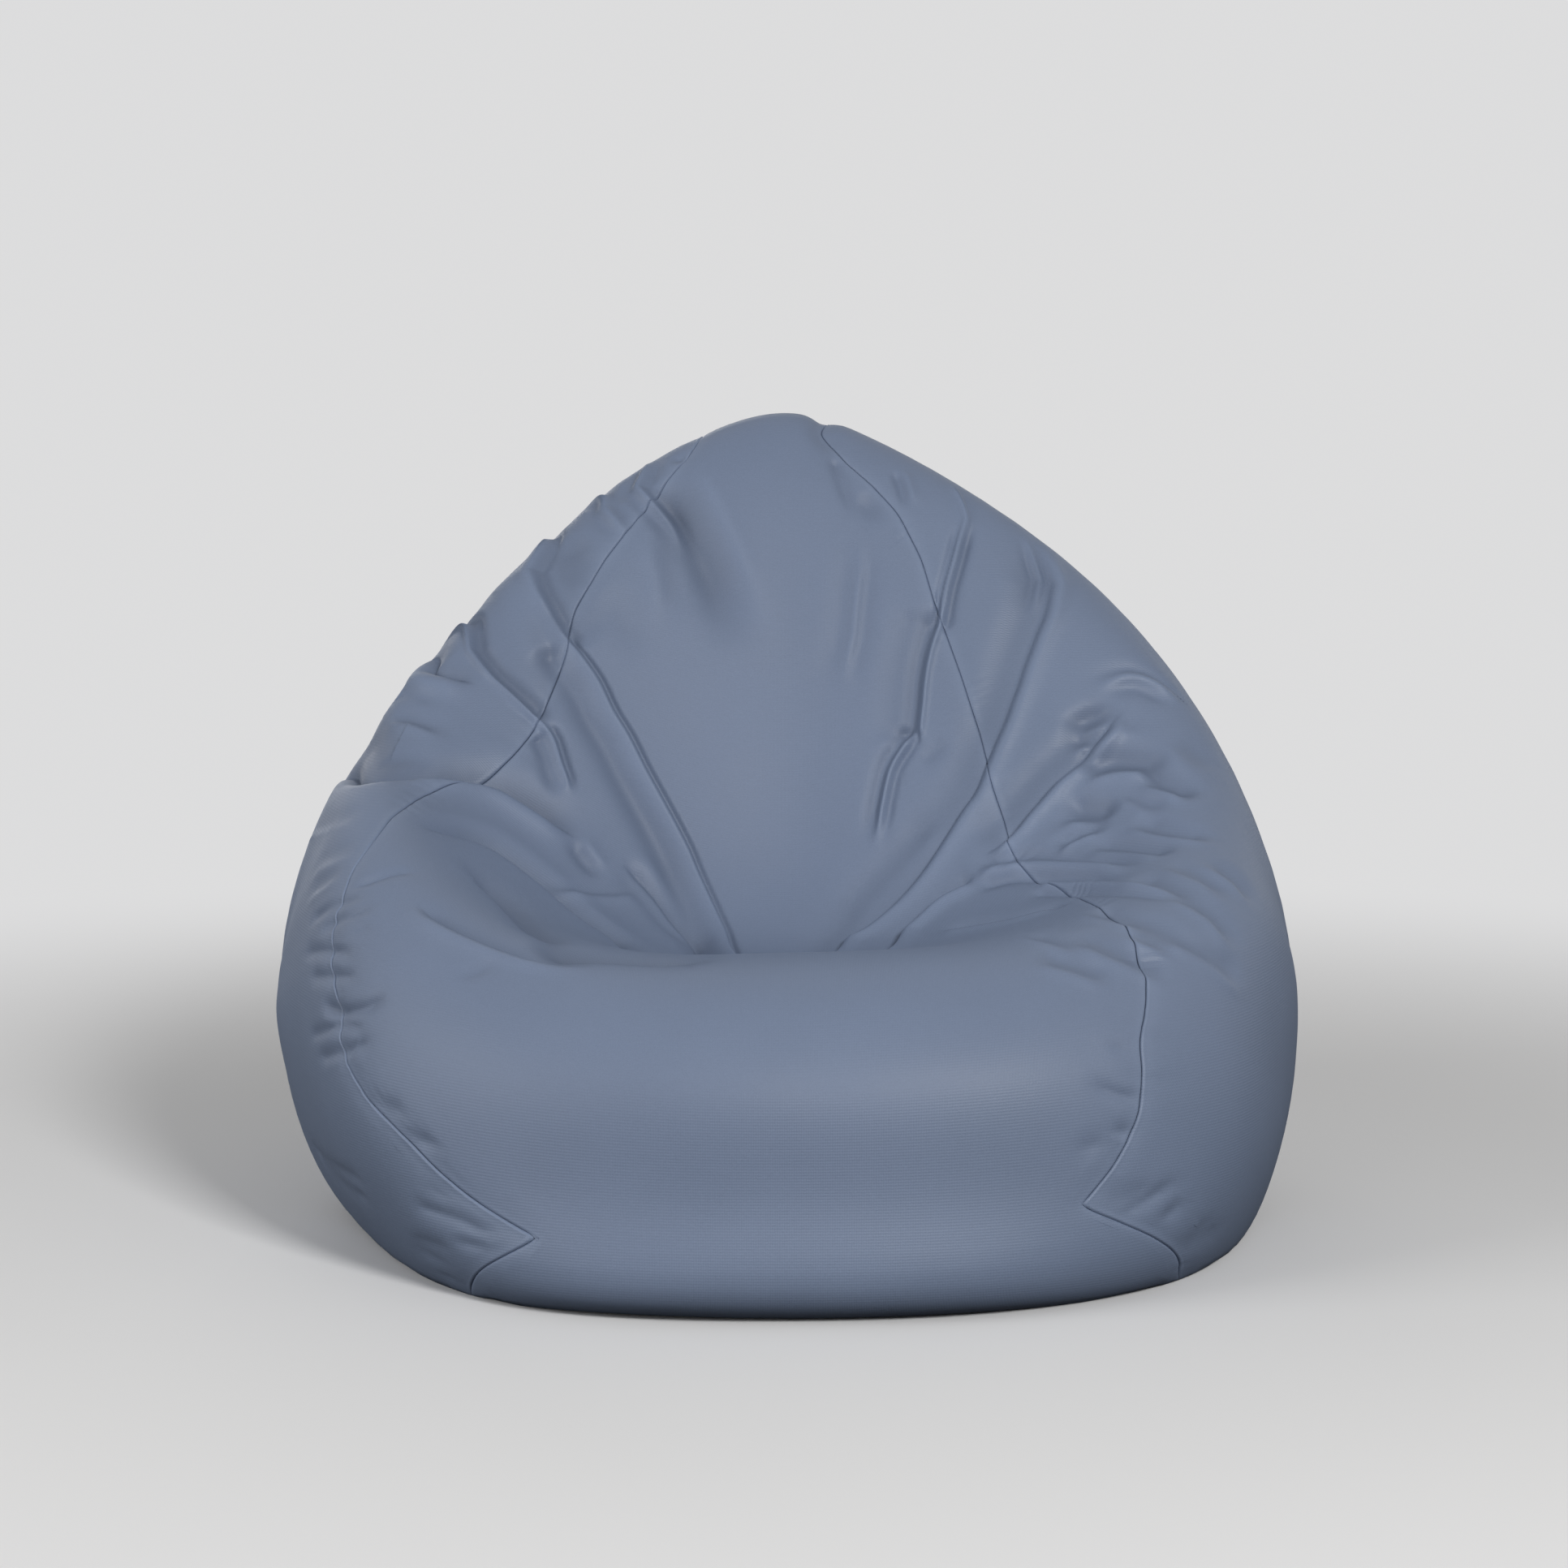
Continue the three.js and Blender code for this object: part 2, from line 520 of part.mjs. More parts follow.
// End stops clamped over both coils' ends
function endStop(inner, outer) {
  const half = STOP_HEIGHT / 2;
  return arcBand([Math.min(inner, outer), Math.max(inner, outer)], coilFront, coilBack,
    zipHeight - half, zipHeight + half);
}
const stopGap = LAYER_GAP / ZIP_RADIUS;
const firstStop = coilAngles[0] - stopGap;
const lastStop = coilAngles[coilAngles.length - 1] + stopGap;
addPiece('zipper_stop_left', endStop(firstStop, firstStop - inEnd), finishes.metal);
addPiece('zipper_stop_right', endStop(lastStop, lastStop + inEnd), finishes.metal);

// Strip sewn over the liner's filling slit
addPiece('liner_closing_strip', arcBand(stations, ZIP_RADIUS - closingFront, ZIP_RADIUS - closingBack,
  zipHeight - CLOSING_STRIP_WIDTH / 2, zipHeight + CLOSING_STRIP_WIDTH / 2), finishes.liner);

// Slider: a front plate with a bridge, a back plate behind the tapes and a thin post between the coils.
// It is drawn with +Y outwards from the zipper's face and +X along the coils.
const wasm = await Module();
wasm.setup();

function solidOf(geometry) {
  const bare = geometry.clone();
  bare.deleteAttribute('normal');
  bare.deleteAttribute('uv');
  const merged = mergeVertices(bare);
  return new wasm.Manifold(new wasm.Mesh({
    numProp: 3,
    vertProperties: new Float32Array(merged.getAttribute('position').array),
    triVerts: new Uint32Array(merged.getIndex().array),
  }));
}

function joined(geometries) {
  const whole = geometries.map(solidOf).reduce((sum, solid) => sum.add(solid)).getMesh();
  const geometry = new THREE.BufferGeometry();
  geometry.setAttribute('position', new THREE.Float32BufferAttribute(whole.vertProperties, 3));
  geometry.setIndex([...whole.triVerts]);
  return geometry;
}

function roundedOutline(length, width, corner) {
  const outline = new THREE.Shape();
  const [x, y] = [length / 2, width / 2];
  outline.moveTo(-x + corner, -y);
  outline.lineTo(x - corner, -y);
  outline.absarc(x - corner, -y + corner, corner, -Math.PI / 2, 0);
  outline.lineTo(x, y - corner);
  outline.absarc(x - corner, y - corner, corner, 0, Math.PI / 2);
  outline.lineTo(-x + corner, y);
  outline.absarc(-x + corner, y - corner, corner, Math.PI / 2, Math.PI);
  outline.lineTo(-x, -y + corner);
  outline.absarc(-x + corner, -y + corner, corner, Math.PI, Math.PI * 1.5);
  return outline;
}

// A plate in the zipper's plane, from one distance outwards of it to another
function plate(outline, from, to) {
  const geometry = new THREE.ExtrudeGeometry(outline,
    { depth: to - from, bevelEnabled: false, curveSegments: CORNER_STEPS });
  return geometry.rotateX(Math.PI / 2).translate(0, to, 0);
}

function block(length, from, to, low, high, middle) {
  const box = new THREE.BoxGeometry(length, to - from, high - low);
  return box.translate(middle, (from + to) / 2, (low + high) / 2);
}

const frontPlateBack = coilFront - ZIP_RADIUS + SLIDER_CLEARANCE;
const frontPlateFront = frontPlateBack + SLIDER_PLATE;
const bridgeFront = frontPlateFront + BRIDGE_LIFT;
const bridgeLeg = (BRIDGE_LENGTH - BRIDGE_BAR) / 2;
const halfBar = BRIDGE_BAR / 2;
const sink = BRIDGE_BAR / 4;
const slider = joined([
  plate(roundedOutline(SLIDER_LENGTH, SLIDER_WIDTH, SLIDER_CORNER), frontPlateBack, frontPlateFront),
  plate(roundedOutline(SLIDER_BACK_LENGTH, SLIDER_BACK_WIDTH, SLIDER_CORNER),
    -backPlateBack, -backPlateFront),
  block(SLIDER_POST_LENGTH, -backPlateBack + sink, frontPlateBack + sink,
    -SLIDER_POST / 2, SLIDER_POST / 2, 0),
  block(BRIDGE_BAR, frontPlateFront - sink, bridgeFront, -halfBar, halfBar, -bridgeLeg),
  block(BRIDGE_BAR, frontPlateFront - sink, bridgeFront, -halfBar, halfBar, bridgeLeg),
  block(BRIDGE_LENGTH, bridgeFront - BRIDGE_BAR, bridgeFront, -halfBar, halfBar, 0),
]);

// Pull: a flat tab whose end bar lies under the bridge, so that it swings from one side of it to the other
const pullOutline = roundedOutline(PULL_LENGTH, PULL_WIDTH, PULL_CORNER);
const windowOutline = roundedOutline(PULL_WINDOW_LENGTH, PULL_WINDOW_WIDTH, PULL_WINDOW_CORNER);
const windowMiddle = PULL_BAR + PULL_WINDOW_LENGTH / 2 - PULL_LENGTH / 2;
pullOutline.holes.push(new THREE.Path(windowOutline.getPoints(WINDOW_STEPS)
  .map((point) => new THREE.Vector2(point.x + windowMiddle, point.y))));
const pullMiddle = frontPlateFront + (BRIDGE_LIFT - BRIDGE_BAR) / 2;
const pull = plate(pullOutline, pullMiddle - PULL_THICKNESS / 2, pullMiddle + PULL_THICKNESS / 2)
  .translate((PULL_LENGTH - PULL_BAR) / 2, 0, 0);

const sliderAngle = coilAngles[0] + (SLIDER_LENGTH / 2 + LAYER_GAP) / ZIP_RADIUS;
function onZipper(mesh) {
  const [across, along] = [Math.sin(sliderAngle), Math.cos(sliderAngle)];
  mesh.position.set(ZIP_RADIUS * across, zipAxisY + ZIP_RADIUS * along, zipHeight);
  mesh.rotation.z = -sliderAngle;
}
onZipper(addPiece('zipper_slider', slider, finishes.metal));
onZipper(addPiece('zipper_pull', pull, finishes.metal));

export default bag;
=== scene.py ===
import math
import bpy
import numpy as np
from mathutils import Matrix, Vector


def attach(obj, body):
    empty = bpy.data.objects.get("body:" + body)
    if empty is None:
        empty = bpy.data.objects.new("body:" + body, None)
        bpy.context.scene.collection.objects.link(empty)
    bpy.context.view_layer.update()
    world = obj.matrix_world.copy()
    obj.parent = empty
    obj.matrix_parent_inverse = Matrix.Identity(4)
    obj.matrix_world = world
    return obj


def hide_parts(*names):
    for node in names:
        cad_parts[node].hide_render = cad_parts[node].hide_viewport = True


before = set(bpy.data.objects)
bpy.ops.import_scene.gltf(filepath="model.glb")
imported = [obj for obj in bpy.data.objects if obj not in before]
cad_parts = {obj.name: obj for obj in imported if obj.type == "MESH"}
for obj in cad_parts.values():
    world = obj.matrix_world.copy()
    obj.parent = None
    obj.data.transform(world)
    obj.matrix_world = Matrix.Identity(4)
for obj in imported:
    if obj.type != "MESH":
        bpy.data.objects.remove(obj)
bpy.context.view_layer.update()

# Camera: it stands 3.6 m in front of the chair's middle, just above the height of its top, and looks down a
# little, through a lens as long as the one that took the photograph.
PHOTO_PIXELS = 1932
FOCAL_PIXELS = 4420
SENSOR_MM = 36
EYE = np.array([0, -3.6, 0.817])
LOOK_DOWN = math.radians(6.15)
AHEAD = np.array([0, math.cos(LOOK_DOWN), -math.sin(LOOK_DOWN)])
UPWARD = np.array([0, math.sin(LOOK_DOWN), math.cos(LOOK_DOWN)])


def in_picture(points):
    """Pixel places of points: the offset aside and upwards over the distance ahead, times the focal length."""
    offset = points - EYE
    scale = FOCAL_PIXELS / (offset @ AHEAD)
    half = PHOTO_PIXELS / 2
    return np.stack([half + scale * offset[..., 0], half - scale * (offset @ UPWARD)], axis=-1)


lens = bpy.data.cameras.new("studio_camera")
lens.sensor_width = SENSOR_MM
lens.lens = FOCAL_PIXELS / PHOTO_PIXELS * SENSOR_MM
camera = bpy.data.objects.new("studio_camera", lens)
camera.location = EYE
camera.rotation_euler = (math.pi / 2 - LOOK_DOWN, 0, 0)
bpy.context.scene.collection.objects.link(camera)
bpy.context.scene.camera = camera

# Centre panel: the wide strip of satin coated cloth over the front roll, the seat and the backrest. It is cut
# in one length, sewn to both side panels with plain seams, and the beads behind it hold its sagging form.
WIDTH, DEPTH, HEIGHT = 1.03, 0.99, 0.8
NET_ROWS, NET_COLUMNS = 20, 8
# The form is a net of points round the bag, in rows that run up the front from the floor, over the seat, up
# the back and down the rear. Each place is given in shares of half the width, half the depth and the height.
CENTRE_SHARES = [
    [0, -0.323, -0.025], [0, -0.952, 0], [0, -1, 0.12], [0, -0.96, 0.262], [0, -0.768, 0.369],
    [0, -0.505, 0.369], [0, -0.222, 0.331], [0, 0.03, 0.344], [0, 0.192, 0.469], [0, 0.303, 0.625],
    [0, 0.414, 0.787], [0, 0.535, 0.931], [0, 0.677, 1], [0, 0.808, 0.912], [0, 0.889, 0.75],
    [0, 0.949, 0.562], [0, 0.99, 0.375], [0, 1, 0.2], [0, 0.869, 0], [0, 0.303, -0.025],
]
INNER_SHARES = [
    [0.388, -0.303, -0.025], [0.388, -0.892, 0], [0.408, -0.935, 0.12], [0.408, -0.889, 0.269],
    [0.408, -0.707, 0.375], [0.408, -0.475, 0.388], [0.408, -0.242, 0.381], [0.408, -0.02, 0.425],
    [0.388, 0.141, 0.537], [0.359, 0.273, 0.669], [0.311, 0.394, 0.803], [0.243, 0.515, 0.91],
    [0.194, 0.657, 0.963], [0.252, 0.778, 0.885], [0.33, 0.859, 0.75], [0.388, 0.909, 0.562],
    [0.408, 0.939, 0.375], [0.408, 0.939, 0.2], [0.388, 0.828, 0], [0.388, 0.283, -0.025],
]
LEFT_MIDDLE_SHARES = [
    [-0.7, -0.222, -0.012], [-0.668, -0.592, -0.006], [-0.734, -0.697, 0.131], [-0.738, -0.677, 0.281],
    [-0.738, -0.535, 0.406], [-0.738, -0.343, 0.481], [-0.738, -0.162, 0.525], [-0.728, 0, 0.562],
    [-0.703, 0.141, 0.619], [-0.656, 0.253, 0.688], [-0.586, 0.354, 0.756], [-0.509, 0.455, 0.819],
    [-0.476, 0.566, 0.838], [-0.544, 0.677, 0.769], [-0.612, 0.737, 0.65], [-0.67, 0.778, 0.512],
    [-0.703, 0.778, 0.362], [-0.715, 0.758, 0.206], [-0.68, 0.636, -0.006], [-0.709, 0.202, -0.012],
]
LEFT_OUTER_SHARES = [
    [-0.897, -0.091, 0.044], [-0.893, -0.202, 0.075], [-0.905, -0.313, 0.156], [-0.92, -0.333, 0.269],
    [-0.918, -0.263, 0.362], [-0.917, -0.172, 0.419], [-0.913, -0.071, 0.46], [-0.913, 0.01, 0.488],
    [-0.904, 0.091, 0.512], [-0.886, 0.172, 0.537], [-0.858, 0.242, 0.557], [-0.835, 0.313, 0.575],
    [-0.821, 0.384, 0.569], [-0.835, 0.434, 0.525], [-0.854, 0.465, 0.462], [-0.874, 0.475, 0.394],
    [-0.893, 0.475, 0.312], [-0.901, 0.444, 0.206], [-0.893, 0.313, 0.078], [-0.893, 0.121, 0.044],
]
RIGHT_MIDDLE_SHARES = [
    [0.755, -0.222, -0.012], [0.735, -0.615, -0.006], [0.77, -0.705, 0.125], [0.753, -0.677, 0.275],
    [0.751, -0.535, 0.388], [0.748, -0.343, 0.444], [0.748, -0.162, 0.481], [0.742, 0, 0.531],
    [0.722, 0.141, 0.606], [0.683, 0.253, 0.688], [0.615, 0.354, 0.76], [0.547, 0.455, 0.822],
    [0.506, 0.566, 0.839], [0.573, 0.677, 0.775], [0.631, 0.737, 0.656], [0.68, 0.778, 0.512],
    [0.711, 0.778, 0.362], [0.722, 0.758, 0.206], [0.689, 0.636, -0.006], [0.718, 0.202, -0.012],
]
RIGHT_OUTER_SHARES = [
    [0.932, -0.091, 0.03], [0.936, -0.202, 0.05], [0.942, -0.313, 0.137], [0.938, -0.333, 0.256],
    [0.94, -0.263, 0.35], [0.938, -0.172, 0.4], [0.932, -0.071, 0.435], [0.926, 0.01, 0.465],
    [0.918, 0.091, 0.5], [0.907, 0.172, 0.531], [0.889, 0.242, 0.562], [0.872, 0.313, 0.584],
    [0.858, 0.384, 0.588], [0.862, 0.434, 0.537], [0.878, 0.465, 0.462], [0.893, 0.475, 0.394],
    [0.909, 0.475, 0.312], [0.917, 0.444, 0.206], [0.905, 0.313, 0.078], [0.915, 0.121, 0.036],
]
LEFT_POLE_SHARES = [-0.996, 0.061, 0.275]
RIGHT_POLE_SHARES = [1.008, 0.061, 0.269]
FIT_ROUNDS = 40
# Round the zipper the rear is a cylinder, so that the tapes and coils bend one way only
ZIP_RADIUS = 0.75
ZIP_AXIS_Y = DEPTH / 2 - ZIP_RADIUS
ZIP_ROW = 17
ZIP_HEIGHT = CENTRE_SHARES[ZIP_ROW][2] * HEIGHT
ZIP_FLAT_BAND = 0.026
ZIP_FADE = 0.034
ZIP_EASED_ROWS = 0.6


def through(points, axis):
    """Control points of the closed cubic curve through the points: what is missing is added back each round."""
    control = points.copy()
    for _ in range(FIT_ROUNDS):
        near = np.roll(control, 1, axis) + np.roll(control, -1, axis)
        control = control + points - (4 * control + near) / 6
    return control


def closed_net():
    """The net closed both ways: each row comes back to its start along the row across the poles."""
    lists = [
        [LEFT_POLE_SHARES] * NET_ROWS, LEFT_OUTER_SHARES, LEFT_MIDDLE_SHARES,
        [[-across, along, up] for across, along, up in INNER_SHARES], CENTRE_SHARES, INNER_SHARES,
        RIGHT_MIDDLE_SHARES, RIGHT_OUTER_SHARES, [RIGHT_POLE_SHARES] * NET_ROWS,
    ]
    net = np.stack([np.array(shares, float) for shares in lists], axis=1) * (WIDTH / 2, DEPTH / 2, HEIGHT)
    back = np.roll(net, NET_ROWS // 2, axis=0)[:, -2:0:-1]
    return np.concatenate([net, back], axis=1)


CONTROL = through(through(closed_net(), 0), 1)


def smooth_step(value):
    """Three squares less two cubes of the value held between 0 and 1."""
    share = np.clip(value, 0, 1)
    return share * share * (3 - 2 * share)


def cubic_weights(place):
    """The first of the four control points round a place on a cubic curve, and the weight of each."""
    first = np.floor(place).astype(int)
    f = place - first
    weights = [(1 - f) ** 3, 3 * f ** 3 - 6 * f ** 2 + 4, -3 * f ** 3 + 3 * f ** 2 + 3 * f + 1, f ** 3]
    return first - 1, np.stack(weights) / 6


def net_point(row, column):
    """A place on the closed net: its sixteen control points round about, each times its two weights."""
    first_row, row_weights = cubic_weights(np.mod(row, NET_ROWS))
    first_column, column_weights = cubic_weights(column)
    total = np.zeros(np.shape(row) + (3,))
    for i in range(4):
        for j in range(4):
            control = CONTROL[(first_row + i) % NET_ROWS, (first_column + j) % (2 * NET_COLUMNS)]
            total += (row_weights[i] * column_weights[j])[..., None] * control
    return total


def form(row, column):
    """The bag without folds: the net's point held above the floor, and eased onto the zipper's cylinder."""
    row, column = np.broadcast_arrays(np.asarray(row, float), np.asarray(column, float))
    points = net_point(row, column)
    beside = smooth_step(2 - 4 * np.abs(points[..., 0]) / WIDTH)
    from_zip = np.abs(np.mod(row, NET_ROWS) - ZIP_ROW)
    level = smooth_step(1 - from_zip / ZIP_EASED_ROWS) * beside
    zip_line = net_point(np.full(row.shape, float(ZIP_ROW)), column)[..., 2]
    points[..., 2] = np.maximum(points[..., 2] + (ZIP_HEIGHT - zip_line) * level, 0)
    aside = smooth_step(1 - (np.abs(points[..., 2] - ZIP_HEIGHT) - ZIP_FLAT_BAND) / ZIP_FADE)
    share = aside * beside * (points[..., 1] > 0)
    drum = ZIP_AXIS_Y + np.sqrt(np.maximum(ZIP_RADIUS ** 2 - points[..., 0] ** 2, 0))
    points[..., 1] += (drum - points[..., 1]) * share
    return points


NO_LENGTH = 1e-12


def unit(vectors):
    """Vectors over their own lengths."""
    return vectors / np.maximum(np.linalg.norm(vectors, axis=-1, keepdims=True), NO_LENGTH)


SLOPE_STEP = 0.02


def outward(row, column):
    """The form's outward direction: its slope along a row, crossed with its slope along a column."""
    inside = np.clip(column, SLOPE_STEP, NET_COLUMNS - SLOPE_STEP)
    along_row = form(row, inside + SLOPE_STEP) - form(row, inside - SLOPE_STEP)
    along_column = form(row + SLOPE_STEP, inside) - form(row - SLOPE_STEP, inside)
    return unit(np.cross(along_row, along_column))


# Places on the bag that the picture shows at a pixel: a search net gives the first guess, where a place a
# metre nearer to the camera counts as this many pixels nearer to the one wanted
SEARCH_ROWS, SEARCH_COLUMNS = 260, 130
SEARCH_EDGE = 0.05
SEARCHED_AT_ONCE = 50
NEARER_PIXELS_PER_METRE = 25
AIM_ROUNDS = 8
AIM_STEP = 0.01
AIM_DAMPING = 4
AIM_LONGEST = 0.1
search_row, search_column = np.meshgrid(
    np.linspace(0, NET_ROWS, SEARCH_ROWS, endpoint=False),
    np.linspace(SEARCH_EDGE, NET_COLUMNS - SEARCH_EDGE, SEARCH_COLUMNS), indexing="ij")
search_points = form(search_row, search_column)
facing = ((EYE - search_points) * outward(search_row, search_column)).sum(-1) > 0
search_row, search_column, search_points = search_row[facing], search_column[facing], search_points[facing]
search_pixels = in_picture(search_points)
search_depth = (search_points - EYE) @ AHEAD


def on_bag(pixels):
    """Rows and columns seen at pixels: the nearest place of a search net that faces the camera, then damped
    steps down the difference between the place's own pixel and the one wanted."""
    pixels = np.asarray(pixels, float)
    found = []
    for some in np.array_split(pixels, max(len(pixels) // SEARCHED_AT_ONCE, 1)):
        apart = np.linalg.norm(some[:, None] - search_pixels[None], axis=-1)
        found.append((apart + NEARER_PIXELS_PER_METRE * search_depth).argmin(1))
    nearest = np.concatenate(found)
    place = np.stack([search_row[nearest], search_column[nearest]], axis=1)
    step = AIM_STEP
    for _ in range(AIM_ROUNDS):
        row, column = place.T
        miss = pixels - in_picture(form(row, column))
        by_row = (in_picture(form(row + step, column)) - in_picture(form(row - step, column))) / (2 * step)
        by_column = (in_picture(form(row, column + step)) - in_picture(form(row, column - step))) / (2 * step)
        slope = np.stack([by_row, by_column], axis=2)
        square = np.swapaxes(slope, 1, 2) @ slope + AIM_DAMPING * np.eye(2)
        change = np.linalg.solve(square, np.swapaxes(slope, 1, 2) @ miss[..., None])[..., 0]
        place = place + np.clip(change, -AIM_LONGEST, AIM_LONGEST)
    return place


def length_so_far(points):
    """How far each point is along a path: the sum of the steps before it."""
    return np.concatenate([[0], np.cumsum(np.linalg.norm(np.diff(points, axis=0), axis=1))])


def evenly(points, step, kept=None):
    """A path's points at even steps: each is read off at its own distance along the path, and so is what
    is kept with the points."""
    points = np.asarray(points, float)
    along = length_so_far(points)
    places = np.linspace(0, along[-1], max(int(along[-1] / step), 2) + 1)
    kept = points if kept is None else kept
    return np.stack([np.interp(places, along, axis) for axis in kept.T], axis=1)


def eased(points, rounds):
    """A path with its kinks rounded: each round, an inner point becomes half itself and half its neighbours."""
    for _ in range(rounds):
        points = points.copy()
        points[1:-1] = (points[:-2] + 2 * points[1:-1] + points[2:]) / 4
    return points


PLACE_STEP = 0.01
LINE_STEP = 0.003
ROUGH_STEPS = 10
MEASURED_AT_ONCE = 4000


def line_along(places):
    """A line on the form through rows and columns, in even steps, with its length so far, its outward
    directions and the directions across it, to the left of its way."""
    dense = evenly(places, PLACE_STEP)
    points = form(dense[:, 0], dense[:, 1])
    normals = outward(dense[:, 0], dense[:, 1])
    even = evenly(points, LINE_STEP, np.concatenate([points, normals, dense[:, :1]], axis=1))
    points, normals, rows = even[:, :3], even[:, 3:6], even[:, 6]
    way = unit(np.gradient(points, axis=0))
    return {"points": points, "way": way, "left": unit(np.cross(normals, way)), "along": length_so_far(points),
            "rows": rows}


def measured(line, points, reach):
    """Which points lie within reach of a line, and for each the line's nearest point, how far along the line
    it is, and how far to the left of it: the root of the distance's square less the part along the line's."""
    low, high = line["points"].min(0) - reach, line["points"].max(0) + reach
    inside = np.flatnonzero(((points >= low) & (points <= high)).all(1))
    kept, nearest = [], []
    rough, rough_reach = line["points"][::ROUGH_STEPS], reach + ROUGH_STEPS * LINE_STEP
    for some in np.array_split(inside, len(inside) // MEASURED_AT_ONCE + 1):
        close = ((points[some][:, None] - rough[None]) ** 2).sum(-1).min(1) < rough_reach ** 2
        some = some[close]
        if not len(some):
            continue
        square = ((points[some] ** 2).sum(1)[:, None] + (line["points"] ** 2).sum(1)[None]
                  - 2 * points[some] @ line["points"].T)
        index = square.argmin(1)
        near = square[np.arange(len(some)), index] < reach ** 2
        kept.append(some[near])
        nearest.append(index[near])
    if not kept:
        return np.zeros(0, int), np.zeros(0, int), np.zeros(0), np.zeros(0)
    kept, nearest = np.concatenate(kept), np.concatenate(nearest)
    offset = points[kept] - line["points"][nearest]
    side = np.where((offset * line["left"][nearest]).sum(1) < 0, -1, 1)
    onward = (offset * line["way"][nearest]).sum(1)
    apart = np.sqrt(np.maximum((offset ** 2).sum(1) - np.clip(onward, -LINE_STEP, LINE_STEP) ** 2, 0))
    return kept, nearest, line["along"][nearest] + onward, side * apart


# Folds, each read along its line in the picture, from its top or its left end. Its section is a list of bells
# (height, offset, width) in millimetres: offsets are positive to the left of its way, which is the picture's
# right for a fold read downwards and the picture's top for one read to the right. A crease has a depth and
# the widths of its walls to the left and right of the way.
MM = 0.001
PIXEL_STEP = 3
HIDDEN_POINTS = 16
HIDDEN_STEP = 0.02
HIDDEN_ROUNDS = 6
BELL_REACH, CREASE_REACH = 2, 5
FOLDS = []


def fold(pixels, bells=(), crease=None, fade=(25, 30), start=None, end=None, calm=12):
    """A fold along pixels of the picture, faded over lengths at both ends. It goes on to a start or an end in
    rows and columns of the net where the picture doesn't show it."""
    FOLDS.append((eased(evenly(pixels, PIXEL_STEP), calm), bells, crease, fade, start, end))


def laid(folds):
    """The folds on the bag: all their pixels are found at once, and each gets its line and its reach, which is
    two widths past a bell's offset and five walls of a crease. The part that the picture hides goes straight
    over the net to its end, and its kinks are eased."""
    places = on_bag(np.concatenate([pixels for pixels, *_ in folds]))
    ends = np.cumsum([len(pixels) for pixels, *_ in folds])
    found = []
    for (_, bells, crease, fade, start, end), path in zip(folds, np.split(places, ends[:-1])):
        hidden = np.linspace(0, 1, HIDDEN_POINTS, endpoint=False)[:, None]
        if start is not None:
            path = np.concatenate([np.array(start) * (1 - hidden) + path[:1] * hidden, path])
        if end is not None:
            path = np.concatenate([path, path[-1:] * hidden[::-1] + np.array(end) * (1 - hidden[::-1])])
        if start is not None or end is not None:
            path = eased(evenly(path, HIDDEN_STEP), HIDDEN_ROUNDS)
        widths = [abs(offset) + BELL_REACH * width for _, offset, width in bells]
        widths += [CREASE_REACH * wall for wall in crease[1:]] if crease is not None else []
        found.append((line_along(path), bells, crease, fade, max(widths) * MM))
    return found


# A crease's bottom is rounded: its distance is the root of its square and the first, less the second
BLUNT_SQUARE, BLUNT_ROOT = 0.5, 0.7


def bell(distance, width):
    """The bell curve: the power of e to less the square of the distance over the width."""
    return np.exp(-((distance / width) ** 2))


def fold_lift(points):
    """How far the folds lift or sink the points: for each fold its bells, less its crease, which falls off by
    the power of e to less the distance, rounded within 0.7 mm of its bottom."""
    lift = np.zeros(len(points))
    for line, bells, crease, fade, reach in folds_on_bag:
        index, _, along, across = measured(line, points, reach)
        aside = across / MM
        shape = np.zeros(len(aside))
        for height, offset, width in bells:
            shape += height * bell(aside - offset, width)
        if crease is not None:
            depth, left, right = crease
            blunt = np.sqrt(aside ** 2 + BLUNT_SQUARE) - BLUNT_ROOT
            shape -= depth * np.exp(-np.maximum(blunt, 0) / np.where(aside > 0, left, right))
        length = line["along"][-1]
        shape *= smooth_step(along / MM / fade[0]) * smooth_step((length - along) / MM / fade[1])
        lift[index] += shape * MM
    return lift


# The longest fold, from the left of the top down to the seat
FIRST = [
    (652, 702), (660, 728), (672, 748), (690, 778), (712, 808), (735, 840), (752, 878), (771, 907),
    (791, 948), (811, 984), (830, 1019), (846, 1050), (856, 1076), (867, 1099), (877, 1121), (890, 1148),
]
fold(FIRST, [(4, -4, 9), (2.5, 1, 3.5)], fade=(75, 50), start=(12.2, 1.85), end=(6, 3.8))
fold(FIRST[:5], [(-7, 13, 9), (-4, 32, 20)], fade=(70, 25), start=(12.2, 1.85))
fold(FIRST[3:], [(-5, 7.5, 3.4), (-9, -25, 14)], fade=(20, 50), end=(6, 3.8))
# The second one, down the left side and over the seam
SECOND = [
    (578, 800), (590, 816), (604, 835), (625, 853), (643, 870), (657, 883), (668, 895), (678, 904),
    (685, 925), (689, 941), (696, 959), (703, 980),
]
fold(SECOND, [(5.5, 0, 4)], fade=(80, 25), start=(11.5, 1.3))
fold(SECOND[:7], [(-9, 13, 9), (-4, 32, 18)], fade=(80, 20), start=(11.5, 1.3))
fold(SECOND[6:], [(-5, 8, 4.5), (-6, -13, 9)], fade=(12, 25))
